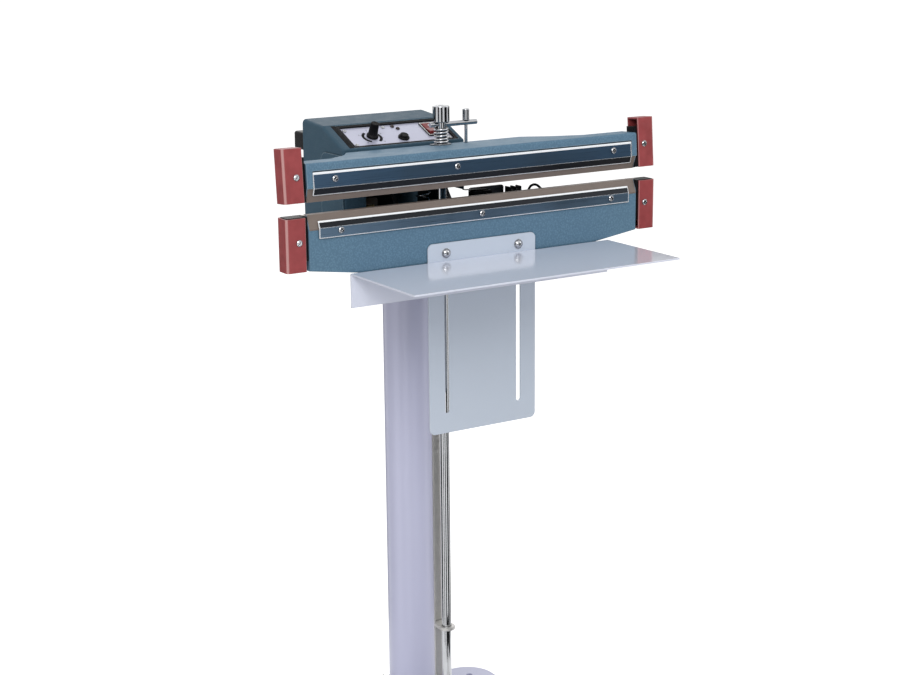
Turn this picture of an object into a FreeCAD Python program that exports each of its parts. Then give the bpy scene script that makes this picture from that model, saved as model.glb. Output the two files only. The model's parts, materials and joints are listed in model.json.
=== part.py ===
import FreeCAD, Part
import math
import os
import re
from FreeCAD import Placement, Rotation, Vector

# Foot pedal impulse sealer, 450 mm seal class. Millimetres.
# Floor frame: Z = 0 on the floor, X = Y = 0 on the column's axis, -Y towards the operator.
# Head frame: Y = 0 on the lower jaw's front face, Z = 0 on the sealing plane.
# Arm frame: the head frame as it is with the jaws closed, swung open about the hinge shaft.
# Panel frame: X to the right, Y up the slope of the control panel, Z out of it.

SIZES = (
    ("seal_height", 780, "floor to sealing plane"),
    ("reach", 180, "column axis to the lower jaw's front face"),
    ("fit_gap", 0.05, "clearance of a pin, shank or bush in its hole"),
    ("part_gap", 0.3, "clearance between neighbours that move or only just clear"),
    ("base_width", 400, "base plate, left to right"),
    ("base_front", 310, "column axis to the base plate's front edge"),
    ("base_back", 150, "column axis to the base plate's back edge"),
    ("base_thick", 10, "base plate"),
    ("base_corner", 45, "base plate's corner radius"),
    ("anchor_inset", 35, "floor bolt hole to the base plate's edges"),
    ("anchor_radius", 4.5, "floor bolt hole"),
    ("column_radius", 31.4, "column tube, outside"),
    ("column_wall", 3, "column tube's wall"),
    ("socket_wall", 6, "collar round each end of the column"),
    ("socket_height", 32, "collar's height"),
    ("flange_thick", 8, "plate of both column flanges"),
    ("flange_half", 58, "foot flange, half width"),
    ("flange_bolt_inset", 14, "foot flange's bolts to its edges"),
    ("head_half", 62, "head flange, half width"),
    ("head_bolt_inset", 10, "head flange's bolts to its front and side edges"),
    ("head_gap", 6, "guide strip's upper foot to the head flange"),
    ("bolt_radius", 4, "frame bolt's shank"),
    ("bolt_head", 7.5, "frame bolt's hexagon, across corners, half"),
    ("bolt_head_height", 5.3, "frame bolt's head"),
    ("floor_thick", 6, "plate of the head bracket"),
    ("floor_drop", 60, "sealing plane to the head bracket's plate"),
    ("bracket_half", 72, "head bracket's front flange, half width"),
    ("jaw_bolt_x", 52, "jaw bolts off the middle"),
    ("jaw_bolt_high", 44, "sealing plane to the upper jaw bolts"),
    ("jaw_bolt_low", 79, "sealing plane to the lower jaw bolts"),
    ("jaw_bolt_edge", 12.5, "jaw bolts to the flange's upper and lower edges"),
    ("cheek_inner", 36, "middle plane to each hinge cheek's inner face"),
    ("cheek_thick", 6, "hinge cheek"),
    ("pivot_back", 186, "jaw front face to hinge shaft"),
    ("pivot_rise", 0, "hinge shaft above the sealing plane"),
    ("open_angle", 4.3, "jaw opening at rest, in degrees"),
    ("close_gap", 0.3, "gap left between the two tapes when closed"),
    ("shaft_radius", 7, "hinge shaft"),
    ("bush_wall", 2, "hinge bush's wall"),
    ("hub_radius", 16, "arm's hub round the hinge shaft"),
    ("jaw_length", 466, "both jaw castings"),
    ("jaw_depth", 22, "lower jaw, front to back"),
    ("jaw_end_height", 64.2, "lower jaw's height at its ends"),
    ("jaw_middle_height", 86, "lower jaw's height at the middle"),
    ("jaw_mount_half", 76, "half length of the lower jaw's deep middle part"),
    ("jaw_wall", 8, "lower jaw's front wall and rim"),
    ("jaw_round", 1, "radius of the lower jaw's outer edges"),
    ("rib_thick", 6, "ribs behind the lower jaw and under the arm"),
    ("slant_depth", 6.2, "front face to the sealing surface's front edge"),
    ("slant_height", 15.8, "height of the slanted edge"),
    ("seal_back", 13, "front face to the sealing surface's back edge"),
    ("tape_thick", 0.3, "heat-proof tape"),
    ("tape_front", 17.5, "sealing plane to the tape's edge under the clamp strip"),
    ("element_width", 5, "heating ribbon"),
    ("element_thick", 0.35, "heating ribbon"),
    ("strip_thick", 1.5, "clamp strip's sheet"),
    ("strip_start", 8, "sealing plane to the clamp strip's near edge"),
    ("strip_end_low", 27.5, "sealing plane to the lower clamp strip's far edge"),
    ("strip_end_up", 34, "sealing plane to the upper clamp strip's far edge"),
    ("strip_inset_low", 13, "lower jaw's end to its clamp strip's end"),
    ("strip_inset_up", 8, "upper jaw's end to its clamp strip's end"),
    ("screw_radius", 2, "small screw's shank"),
    ("screw_head", 3.7, "small screw's head"),
    ("screw_head_height", 1.9, "small screw's head"),
    ("rim_depth", 2, "raised rim round the upper jaw's clamp strip"),
    ("arm_top", 45, "upper jaw's top above the sealing plane, closed"),
    ("arm_depth", 30, "upper jaw, front to back"),
    ("web_half", 124, "arm's broad web at its back edge, half width"),
    ("web_root", 194, "arm's broad web where it joins the jaw, half width"),
    ("web_back", 103, "jaw front face to the broad web's back edge"),
    ("web_skin", 6, "arm's top skin over its hollow underside"),
    ("tail_half", 34, "half width of the arm's tail between the cheeks"),
    ("cap_gap", 4, "jaw end to end cap"),
    ("cap_length", 25, "end cap along the jaw"),
    ("cap_depth", 22, "end cap, front to back"),
    ("cap_height", 62, "end cap"),
    ("cap_offset", 2, "sealing plane to the end caps' open ends"),
    ("cap_wall", 2, "end cap"),
    ("rod_back", 90, "jaw front face to the pull rod's axis"),
    ("rod_radius", 6, "pull rod"),
    ("rod_stroke", 13, "pull rod's travel"),
    ("bar_rise", 77.5, "cross bar's axis above the sealing plane"),
    ("bar_radius", 3.2, "cross bar"),
    ("bar_left", 16, "cross bar to the left of the rod's axis"),
    ("bar_right", 51, "cross bar to the right of the rod's axis"),
    ("nut_radius", 10.4, "pressure nut"),
    ("nut_height", 20, "pressure nut"),
    ("spring_mean", 8, "mean radius of the pressure and lift springs"),
    ("wire_radius", 1.25, "spring wire"),
    ("seat_radius", 13, "spring seat on the arm"),
    ("seat_thick", 2.5, "spring seat"),
    ("slot_slack", 3, "how much longer than the rod the arm's slot is, each way"),
    ("switch_rod_x", 36, "switch rod's axis to the right of the pull rod"),
    ("switch_rod_radius", 2, "switch rod"),
    ("switch_rod_end", 9, "switch rod's lower end above the sealing plane"),
    ("lift_spring_back", 135, "jaw front face to the lift spring's axis"),
    ("switch_length", 28, "micro switch"),
    ("switch_height", 17, "micro switch"),
    ("switch_side", 6, "switch rod's axis to the micro switch"),
    ("switch_drop", 5, "switch rod's lowest reach to the micro switch"),
    ("small_screw", 1.5, "shank of the panel and switch screws"),
    ("post_arm", 46, "switch post's arm, beyond the switch, to its end"),
    ("terminal_width", 18, "terminal block at the arm's end"),
    ("terminal_height", 24, "terminal block"),
    ("lead_radius", 1.6, "lead to the lower jaw's right end"),
    ("lead_bend", 7, "bend of the lead's axis"),
    ("core_width", 54, "transformer's core"),
    ("core_depth", 56, "transformer, front to back, over its feet"),
    ("core_height", 46, "transformer's core"),
    ("core_limb", 8, "limbs and half the middle leg of the core"),
    ("winding_end", 14, "how far the winding stands out of the core at each end"),
    ("box_left", 125.5, "control housing to the left of the middle"),
    ("box_right", 48, "control housing to the right of the middle"),
    ("box_front", 112, "jaw front face to the housing's front face"),
    ("box_depth", 107, "control housing, front to back"),
    ("box_wall", 2.5, "control housing's wall"),
    ("box_sill", 53.5, "sealing plane to the panel slope's lower edge"),
    ("box_top", 82, "sealing plane to the housing's top at the back"),
    ("box_door_left", 95.3, "left edge of the housing's front opening"),
    ("box_side_cut", 10, "right wall's lower edge below the sealing plane"),
    ("panel_angle", 24, "slope of the control panel, in degrees"),
    ("panel_slope", 58, "length of the slope"),
    ("window_left", 109, "panel window to the left of the middle"),
    ("window_right", 41, "panel window to the right of the middle"),
    ("window_margin", 2.5, "window's edge to the slope's upper and lower ends"),
    ("bezel_width", 4, "black trim inside the window"),
    ("panel_thick", 1.5, "control panel's sheet"),
    ("board_drop", 20, "control panel's back to the far face of the timer board"),
    ("board_thick", 1.6, "timer board"),
    ("knob_x", -70.5, "timer knob"),
    ("knob_y", 27, "timer knob up the slope"),
    ("knob_radius", 6, "timer knob"),
    ("knob_height", 19, "timer knob"),
    ("rocker_x", 19, "mains rocker"),
    ("rocker_y", 33, "mains rocker up the slope"),
    ("rocker_tilt", 7, "rocker's tilt each way, in degrees"),
    ("plate_half", 76.7, "slotted plate, half width"),
    ("plate_top", 50.3, "sealing plane to the slotted plate's top edge"),
    ("plate_bottom", 285.3, "sealing plane to the slotted plate's bottom edge"),
    ("plate_thick", 2, "slotted plate"),
    ("slot_x", 51.7, "slots and plate screws off the middle"),
    ("slot_radius", 3.2, "half width of the plate's slots"),
    ("plate_screw_drop", 62.8, "sealing plane to the plate's screws"),
    ("plate_screw_radius", 2.5, "plate screw's shank"),
    ("table_drop", 71.8, "sealing plane to the work table's top"),
    ("table_left", 182, "work table to the left of the middle"),
    ("table_right", 186, "work table to the right of the middle"),
    ("table_reach", 146.3, "jaw front face to the work table's front edge"),
    ("table_thick", 2, "work table's sheet"),
    ("table_flange", 41, "work table's back flange"),
    ("table_bolt_drop", 96, "sealing plane to the table bolts at rest"),
    ("table_travel", 160, "work table's travel"),
    ("slot_spare", 1.5, "slot's end past the bolt at the table's lowest place"),
    ("lever_x", 47, "middle plane to the middle of each pedal bar"),
    ("lever_thick", 6, "pedal bar"),
    ("lever_height", 22, "pedal bar"),
    ("pedal_pivot_back", 78, "column axis to the pedal shaft"),
    ("pedal_pivot_height", 52, "floor to the pedal shaft"),
    ("pedal_shaft_radius", 6, "pedal shaft"),
    ("pedal_plate", 6, "pedal bracket's plate and ears"),
    ("pedal_bolt_x", 30, "pedal bracket's bolts off the middle"),
    ("pedal_bolt_back", 6, "pedal shaft to the pedal bracket's bolts"),
    ("pedal_ear", 15, "half width of the pedal bracket's ears at the shaft"),
    ("pedal_front", 415, "column axis to the pedal's front edge"),
    ("pedal_width", 150, "foot plate"),
    ("pedal_depth", 92, "foot plate"),
    ("trunnion_half", 12, "half side of the rod's trunnion block"),
    ("trunnion_pin", 5, "trunnion pin's radius"),
    ("guide_gap", 20, "pull rod's axis to the guide strip's front"),
    ("guide_foot", 12, "rod guide strip's feet, front to back"),
    ("guide_eye_height", 195, "floor to the guide strip's eye"),
    ("guide_width", 10, "rod guide strip"),
    ("guide_thick", 3, "rod guide strip"),
)

doc = FreeCAD.newDocument("foot_pedal_sealer")
sheet = doc.addObject("Spreadsheet::Sheet", "Sizes")
for row, (alias, value, note) in enumerate(SIZES, 1):
    sheet.set(f"A{row}", note)
    sheet.set(f"B{row}", str(value))
    sheet.setAlias(f"B{row}", alias)
doc.recompute()


class SheetReader:
    """Gives a driving size from the sheet by its name."""

    def __getattr__(self, alias):
        return float(sheet.get(alias))


size = SheetReader()
ALIASES = {row[0] for row in SIZES}
NODES = []


def formula(text):
    """Points each size's name in a formula at its cell."""
    def cell(word):
        return "Sizes." + word.group() if word.group() in ALIASES else word.group()
    return re.sub(r"[a-z_]+", cell, text)


def turned_about_x(degrees, centre):
    """A turn about an axis along X through a point."""
    return Placement(Vector(), Rotation(Vector(1, 0, 0), degrees), centre)


FLOOR = Placement()
HEAD = Placement(Vector(0, -size.reach, size.seal_height), Rotation())
HINGE = Vector(0, size.pivot_back, size.pivot_rise)
SWING = turned_about_x(-size.open_angle, HINGE)
ARM = HEAD * SWING
PANEL = HEAD * Placement(
    Vector(0, size.box_front, size.box_sill),
    Rotation(Vector(1, 0, 0), size.panel_angle),
)
PEDAL_HINGE = Vector(0, size.pedal_pivot_back, size.pedal_pivot_height)


# Outlines, as lines and arcs in a sketch's own u and v

def outline(*corners):
    """A closed outline through corners (u, v) or (u, v, radius)."""
    points = [Vector(corner[0], corner[1], 0) for corner in corners]
    arcs = []
    for index, point in enumerate(points):
        radius = corners[index][2] if len(corners[index]) > 2 else 0
        before = (points[index - 1] - point).normalize()
        after = (points[(index + 1) % len(points)] - point).normalize()
        if not radius:
            arcs.append((point, None, point))
            continue
        half = before.getAngle(after) / 2
        inward = (before + after).normalize()
        centre = point + inward * (radius / math.sin(half))
        setback = radius / math.tan(half)
        arcs.append((point + before * setback, centre - inward * radius, point + after * setback))
    edges = []
    for index, (start, middle, end) in enumerate(arcs):
        if middle:
            edges.append(Part.Arc(start, middle, end))
        following = arcs[(index + 1) % len(arcs)][0]
        if (following - end).Length > 1e-6:
            edges.append(Part.LineSegment(end, following))
    return edges


def rectangle(left, bottom, right, top, radius=0):
    """A closed rectangle with equal corners."""
    corners = ((left, bottom), (right, bottom), (right, top), (left, top))
    return outline(*[(u, v, radius) for u, v in corners])


def circle(u, v, radius):
    """A circle."""
    return [Part.Circle(Vector(u, v, 0), Vector(0, 0, 1), radius)]


def slot(u, low, high, radius):
    """A slot along v, from one end to the other."""
    return outline(
        (u - radius, low, radius * 0.999), (u + radius, low, radius * 0.999),
        (u + radius, high, radius * 0.999), (u - radius, high, radius * 0.999),
    )


def band(path, near, far):
    """The closed outline of a sheet that follows a path, between two offsets to its left."""
    def offset(distance):
        shifted = []
        for index, (u, v) in enumerate(path):
            first = path[max(index - 1, 0)]
            last = path[min(index + 1, len(path) - 1)]
            normals = []
            for start, end in ((first, (u, v)), ((u, v), last)):
                run = Vector(end[0] - start[0], end[1] - start[1], 0)
                if run.Length:
                    run.normalize()
                    normals.append(Vector(-run.y, run.x, 0))
            middle = sum(normals, Vector()).normalize()
            reach = distance / middle.dot(normals[0])
            shifted.append((u + middle.x * reach, v + middle.y * reach))
        return shifted
    return outline(*offset(near), *reversed(offset(far)))


# Building blocks

def prism(name, plane, loops, start, length):
    """A body padded from a sketch; start and length are formulas along the plane's own axis."""
    body = doc.addObject("PartDesign::Body", name)
    drawing = body.newObject("Sketcher::SketchObject", name + "_sketch")
    role = plane + "_Plane"
    support = next(item for item in body.Origin.OriginFeatures if item.Role == role)
    drawing.AttachmentSupport = [(support, "")]
    drawing.MapMode = "FlatFace"
    facing_back = plane == "XZ"
    offset = f"-({start})" if facing_back else start
    drawing.setExpression("AttachmentOffset.Base.z", formula(offset))
    for loop in loops:
        drawing.addGeometry(loop, False)
    pad = body.newObject("PartDesign::Pad", name + "_pad")
    pad.Profile = drawing
    pad.Reversed = facing_back
    pad.setExpression("Length", formula(length))
    drawing.Visibility = False
    return body


def turned(name, corners):
    """A body revolved about Z from an outline of (radius, height) corners."""
    body = doc.addObject("PartDesign::Body", name)
    drawing = body.newObject("Sketcher::SketchObject", name + "_sketch")
    support = next(item for item in body.Origin.OriginFeatures if item.Role == "XZ_Plane")
    drawing.AttachmentSupport = [(support, "")]
    drawing.MapMode = "FlatFace"
    drawing.addGeometry(outline(*corners), False)
    revolution = body.newObject("PartDesign::Revolution", name + "_turn")
    revolution.Profile = drawing
    revolution.ReferenceAxis = (drawing, ["V_Axis"])
    revolution.Angle = 360
    return body


def box(name, length, width, height, corner):
    """A box with its sizes and low corner given as formulas."""
    block = doc.addObject("Part::Box", name)
    for prop, text in (("Length", length), ("Width", width), ("Height", height)):
        block.setExpression(prop, formula(text))
    for axis, text in zip("xyz", corner):
        block.setExpression("Placement.Base." + axis, formula(text))
    return block


AXIS_TURNS = {
    "x": Rotation(Vector(0, 1, 0), 90),
    "y": Rotation(Vector(1, 0, 0), -90),
    "z": Rotation(),
}


def cylinder(name, radius, length, start, axis="z"):
    """A cylinder along an axis, its sizes and start point given as formulas."""
    rod = doc.addObject("Part::Cylinder", name)
    rod.setExpression("Radius", formula(radius))
    rod.setExpression("Height", formula(length))
    rod.Placement = Placement(Vector(), AXIS_TURNS[axis])
    for letter, text in zip("xyz", start):
        rod.setExpression("Placement.Base." + letter, formula(text))
    return rod


def fuse(name, *things):
    """One solid out of several."""
    whole = doc.addObject("Part::MultiFuse", name)
    whole.Shapes = list(things)
    whole.Refine = True
    return whole


def cut(name, base, *tools):
    """A piece with others taken away from it."""
    for index, tool in enumerate(tools):
        result = doc.addObject("Part::Cut", name if index == len(tools) - 1 else name + "_step")
        result.Base = base
        result.Tool = tool
        result.Refine = True
        base = result
    return base


def common(name, first, second):
    """What two pieces share."""
    shared = doc.addObject("Part::Common", name)
    shared.Base = first
    shared.Tool = second
    shared.Refine = True
    return shared


def spots(name, shape, places):
    """Copies of one shape as separate solids; each place is a point and a direction for its +Z."""
    group = doc.addObject("Part::Feature", name)
    copies = []
    for point, way in places:
        copy = shape.copy()
        copy.Placement = Placement(Vector(*point), Rotation(Vector(0, 0, 1), Vector(*way)))
        copies.append(copy)
    group.Shape = Part.makeCompound(copies)
    return group


def holes(name, places, radius, depth):
    """Cutting tools: a cylinder at each place, run both ways past the surface it starts from."""
    drill = Part.makeCylinder(radius, depth + 1, Vector(0, 0, -depth))
    return spots(name, drill, places)


def node(label, thing, frame):
    """Names a finished piece and stands it in its frame."""
    thing.Label = label
    thing.Placement = frame * thing.Placement
    NODES.append(thing)
    return thing


# Fasteners

def slotted_screw(radius, head_radius, head_height, length):
    """A pan-head screw, its head above Z = 0 and its shank below."""
    crown = head_height * 0.45
    rim = Part.makeCylinder(head_radius, head_height - crown)
    dome = Part.makeCone(head_radius, head_radius * 0.72, crown, Vector(0, 0, head_height - crown))
    shank = Part.makeCylinder(radius, length, Vector(0, 0, -length))
    slot_width = head_radius * 0.24
    slot_depth = head_height * 0.45
    blade = Part.makeBox(
        3 * head_radius, slot_width, slot_depth,
        Vector(-1.5 * head_radius, -slot_width / 2, head_height - slot_depth),
    )
    blade.rotate(Vector(), Vector(0, 0, 1), 50)
    return rim.fuse([dome, shank]).removeSplitter().cut(blade)


def hexagon(radius, height, base=0):
    """A hexagonal prism on Z."""
    corners = [
        Vector(radius * math.cos(math.radians(60 * k)), radius * math.sin(math.radians(60 * k)), base)
        for k in range(7)
    ]
    return Part.Face(Part.makePolygon(corners)).extrude(Vector(0, 0, height))


def hex_bolt(length):
    """A frame bolt, its head above Z = 0 and its shank below."""
    head = hexagon(size.bolt_head, size.bolt_head_height)
    dome = Part.makeCone(
        size.bolt_head * 1.25, size.bolt_head * 0.85, size.bolt_head_height,
    )
    shank = Part.makeCylinder(size.bolt_radius, length, Vector(0, 0, -length))
    return head.common(dome).fuse(shank).removeSplitter()


# Stand: base plate, column and its two flanges

BASE_TOP = size.base_thick
FLANGE_TOP = BASE_TOP + size.flange_thick
FLOOR_Z = size.seal_height - size.floor_drop
ROD_Y = size.rod_back - size.reach
GUIDE_Y = ROD_Y + size.guide_gap
FOOT_FRONT = GUIDE_Y + size.guide_foot
FOOT_BOLT = size.flange_half - size.flange_bolt_inset
FOOT_BOLTS = [
    ((x, y, FLANGE_TOP), (0, 0, 1))
    for x in (-FOOT_BOLT, FOOT_BOLT)
    for y in (FOOT_FRONT + size.flange_bolt_inset, FOOT_BOLT)
]
PEDAL_BOLTS = [
    ((x, size.pedal_pivot_back + size.pedal_bolt_back, BASE_TOP + size.pedal_plate), (0, 0, 1))
    for x in (-size.pedal_bolt_x, size.pedal_bolt_x)
]
GUIDE_SCREW_Y = GUIDE_Y + (size.guide_foot + size.guide_thick) / 2
GUIDE_FOOT = [((0, GUIDE_SCREW_Y, BASE_TOP + size.guide_thick), (0, 0, 1))]


def build_stand():
    """Base plate, foot flange, column tube and head flange."""
    half = size.base_width / 2
    inset = size.anchor_inset
    slab = prism(
        "base_slab", "XY",
        [rectangle(-half, -size.base_front, half, size.base_back, size.base_corner)],
        "0", "base_thick",
    )
    chamfer = slab.newObject("PartDesign::Chamfer", "base_edge")
    doc.recompute()
    pad = slab.Group[1]
    top_edges = [
        f"Edge{number}" for number, edge in enumerate(pad.Shape.Edges, 1)
        if abs(edge.BoundBox.ZMin - BASE_TOP) < 1e-6
    ]
    chamfer.Base = (pad, top_edges)
    chamfer.setExpression("Size", formula("base_thick * 0.3"))
    slab.Tip = chamfer
    anchors = [
        ((x, y, BASE_TOP), (0, 0, 1))
        for x in (-half + inset, half - inset)
        for y in (-size.base_front + inset, size.base_back - inset)
    ]
    drilled = cut(
        "base_drilled", slab,
        holes("anchor_drill", anchors, size.anchor_radius, BASE_TOP + 1),
        holes("foot_drill", FOOT_BOLTS, size.bolt_radius + size.fit_gap, FLANGE_TOP + 1),
        holes("pedal_drill", PEDAL_BOLTS, size.bolt_radius + size.fit_gap, BASE_TOP + size.pedal_plate + 1),
        holes("guide_drill", GUIDE_FOOT, size.screw_radius + size.fit_gap, 10),
    )
    node("base_plate", drilled, FLOOR)

    wide = size.flange_half
    plate = prism("foot_plate", "XY", [rectangle(-wide, FOOT_FRONT, wide, wide, FLANGE_CORNER)],
                  "base_thick", "flange_thick")
    collar = cylinder("foot_collar", "column_radius + socket_wall", "socket_height",
                      ("0", "0", "base_thick + flange_thick"))
    bore = cylinder("foot_bore", "column_radius + fit_gap", "socket_height + 1",
                    ("0", "0", "base_thick + flange_thick"))
    flange = cut(
        "foot_flange_cut", fuse("foot_flange_blank", plate, collar), bore,
        holes("foot_flange_drill", FOOT_BOLTS, size.bolt_radius + size.fit_gap, size.flange_thick + 1),
    )
    node("foot_flange", flange, FLOOR)

    tube = prism(
        "column_body", "XY",
        [circle(0, 0, size.column_radius), circle(0, 0, size.column_radius - size.column_wall)],
        "base_thick + flange_thick",
        "seal_height - floor_drop - floor_thick - 2 * flange_thick - base_thick",
    )
    node("column_tube", tube, FLOOR)

    plate = prism(
        "head_plate", "XY", [rectangle(-size.head_half, HEAD_FRONT, size.head_half, HEAD_BACK, FLANGE_CORNER / 2)],
        "seal_height - floor_drop - floor_thick - flange_thick", "flange_thick",
    )
    collar = cylinder("head_collar", "column_radius + socket_wall", "socket_height",
                      ("0", "0", "seal_height - floor_drop - floor_thick - flange_thick - socket_height"))
    bore = cylinder("head_bore", "column_radius + fit_gap", "socket_height + 1",
                    ("0", "0", "seal_height - floor_drop - floor_thick - flange_thick - socket_height - 1"))
    under = [((x, y, FLOOR_Z - size.floor_thick), (0, 0, 1)) for x, y in HEAD_BOLT_SPOTS]
    flange = cut(
        "head_flange_cut", fuse("head_flange_blank", plate, collar), bore,
        holes("head_flange_drill", under, size.bolt_radius + size.fit_gap, size.flange_thick + 1),
    )
    node("head_flange", flange, FLOOR)


FLANGE_CORNER = 12
HEAD_FRONT = GUIDE_Y + size.guide_foot + size.head_gap
HEAD_BACK = size.box_front + size.box_depth - size.reach - size.box_wall - 1
HEAD_BOLT_X = size.head_half - size.head_bolt_inset
HEAD_BOLT_SPOTS = [
    (x, y)
    for x in (-HEAD_BOLT_X, HEAD_BOLT_X)
    for y in (HEAD_FRONT + size.head_bolt_inset, HEAD_BACK - size.flange_bolt_inset)
]
JAW_BOLT_Y = size.jaw_depth + size.floor_thick - 1
JAW_BOLTS = [
    ((x, JAW_BOLT_Y, z), (0, 1, 0))
    for x in (-size.jaw_bolt_x, size.jaw_bolt_x)
    for z in (-size.jaw_bolt_high, -size.jaw_bolt_low)
]


def build_frame_bolts():
    """All hexagon bolts of the stand and head, as separate solids in one node."""
    floor_bolts = [((x, y, FLOOR_Z), (0, 0, 1)) for x, y in HEAD_BOLT_SPOTS]
    jaw_bolts = [((x, y - size.reach, z + size.seal_height), way) for (x, y, z), way in JAW_BOLTS]
    parts = [
        spots("foot_bolts", hex_bolt(size.flange_thick + BASE_TOP - 1), FOOT_BOLTS),
        spots("floor_bolts", hex_bolt(size.floor_thick + size.flange_thick), floor_bolts),
        spots("jaw_bolts", hex_bolt(size.floor_thick + 11), jaw_bolts),
        spots("pedal_bolts", hex_bolt(size.pedal_plate + BASE_TOP - 1), PEDAL_BOLTS),
    ]
    group = doc.addObject("Part::Compound", "frame_bolt_group")
    group.Links = parts
    node("frame_bolts", group, FLOOR)


# Head bracket: black steel, carries the jaw, the hinge shaft and the housing

def build_head_bracket():
    """Plate, jaw flange, hinge cheeks, switch post and spring peg, welded into one."""
    drop = size.floor_drop
    half, narrow = size.bracket_half, size.head_half
    left = size.box_left - size.box_wall - size.part_gap
    back = size.box_front + size.box_depth - size.box_wall - size.part_gap
    inside = size.box_front + size.box_wall + size.part_gap
    shoulder = size.box_front - 6
    plate = prism(
        "bracket_plate", "XY",
        [outline((-half, size.jaw_depth), (half, size.jaw_depth), (half, shoulder - 2, 6), (narrow, shoulder + 6, 6),
                 (narrow, back), (-left, back), (-left, inside, 2), (-half - 8, inside, 4), (-half, shoulder, 4))],
        "-floor_drop - floor_thick", "floor_thick",
    )
    edge = size.jaw_bolt_edge
    flange = prism(
        "bracket_flange", "XZ",
        [rectangle(-half, -size.jaw_bolt_low - edge, half, -size.jaw_bolt_high + edge, 8)],
        "jaw_depth", "floor_thick - 1",
    )
    pivot, rise, hub = size.pivot_back, size.pivot_rise, size.hub_radius + 2
    toe, toe_height = size.arm_depth, 16 - drop
    side = outline(
        (toe, -drop), (toe, toe_height, 6), (pivot - 68, toe_height, 20), (pivot - hub, rise + hub, hub * 0.7),
        (pivot + hub, rise + hub, hub * 0.98), (back - 4, -drop),
    )
    cheeks = [
        prism("left_cheek", "YZ", [side], "-cheek_inner - cheek_thick", "cheek_thick"),
        prism("right_cheek", "YZ", [side], "cheek_inner", "cheek_thick"),
    ]
    foot, step = SWITCH_RIGHT - 2, ARM_RIGHT - size.terminal_width - 3
    post = prism(
        "switch_post", "XZ",
        [outline((SWITCH_LEFT + 2, -drop), (foot, -drop), (foot, ARM_LOW, 5), (ARM_RIGHT, ARM_LOW, 4),
                 (ARM_RIGHT, ARM_LOW + 16, 3), (step, ARM_LOW + 16, 2), (step, SWITCH_TOP + 3, 3),
                 (SWITCH_LEFT + 2, SWITCH_TOP + 3, 3))],
        "rod_back + 5", "3",
    )
    peg = cylinder("spring_peg", "spring_mean - wire_radius - 1", "14",
                   ("0", "lift_spring_back", "-floor_drop"))
    blank = fuse("bracket_blank", plate, flange, *cheeks, post, peg)
    shaft_hole = cylinder("bracket_bore", "shaft_radius + fit_gap", "2 * cheek_inner + 4 * cheek_thick",
                          ("-cheek_inner - 2 * cheek_thick", "pivot_back", "pivot_rise"), "x")
    bush_hole = cylinder("bush_hole", "rod_radius + 4", "floor_thick + 2",
                         ("0", "rod_back", "-floor_drop - floor_thick - 1"))
    floor_spots = [((x, y + size.reach, -drop), (0, 0, 1)) for x, y in HEAD_BOLT_SPOTS]
    guide_spots = [((0, GUIDE_SCREW_Y + size.reach, -drop), (0, 0, 1))]
    bracket = cut(
        "bracket", blank, shaft_hole, bush_hole,
        holes("bracket_floor_drill", floor_spots, size.bolt_radius + size.fit_gap, size.floor_thick + 1),
        holes("bracket_jaw_drill", JAW_BOLTS, size.bolt_radius + size.fit_gap, size.floor_thick + 1),
        holes("bracket_guide_drill", guide_spots, size.screw_radius + size.fit_gap, size.floor_thick + 1),
        holes("bracket_side_drill", HOUSING_SCREWS, size.screw_radius + size.fit_gap, 12),
        holes("bracket_switch_drill", SWITCH_SCREWS, size.small_screw + size.fit_gap, 16),
    )
    node("head_bracket", bracket, HEAD)

    radius = size.rod_radius
    bush = turned("guide_bush_body", [
        (radius + size.fit_gap, -drop - size.floor_thick - 8),
        (radius + 4 - size.fit_gap, -drop - size.floor_thick - 8),
        (radius + 4 - size.fit_gap, -drop), (radius + 7, -drop), (radius + 7, -drop + 3, 1),
        (radius + size.fit_gap, -drop + 3),
    ])
    bush.Placement = Placement(Vector(0, size.rod_back, 0), Rotation())
    node("rod_guide_bush", bush, HEAD)


SIDE_Z = -size.floor_drop - size.floor_thick / 2
LEFT_OUT = -size.box_left
BACK_OUT = size.box_front + size.box_depth
HOUSING_SCREWS = [
    ((LEFT_OUT, BACK_OUT - 29, SIDE_Z), (-1, 0, 0)),
    ((LEFT_OUT + 35.5, BACK_OUT, SIDE_Z), (0, 1, 0)),
    ((size.box_right - 28, BACK_OUT, SIDE_Z), (0, 1, 0)),
]
SWITCH_LEFT = size.switch_rod_x + size.switch_side
SWITCH_RIGHT = SWITCH_LEFT + size.switch_length
SWITCH_TOP = size.switch_rod_end - size.rod_stroke - size.switch_drop
ARM_RIGHT = SWITCH_RIGHT + size.post_arm
ARM_LOW = SWITCH_TOP - size.switch_height - 10
SWITCH_SCREWS = [
    ((x, size.rod_back - 6, SWITCH_TOP - size.switch_height / 2), (0, -1, 0))
    for x in (SWITCH_LEFT + 6, SWITCH_RIGHT - 8)
]


CLIP_GROOVE = 1.0
CLIP_GRIP = 0.7


def grooved_shaft(name, radius, groove):
    """A shaft along X with a clip groove just outside each end of what it carries."""
    neck, end, tip = radius - CLIP_GRIP, groove + CLIP_GROOVE, groove + 2.5
    half = [(0, tip), (radius - 0.8, tip), (radius, tip - 0.8), (radius, end), (neck, end),
            (neck, groove), (radius, groove)]
    shaft = turned(name, [(r, -z) for r, z in half] + half[::-1])
    shaft.Placement = Placement(Vector(), AXIS_TURNS["x"])
    return shaft


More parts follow.
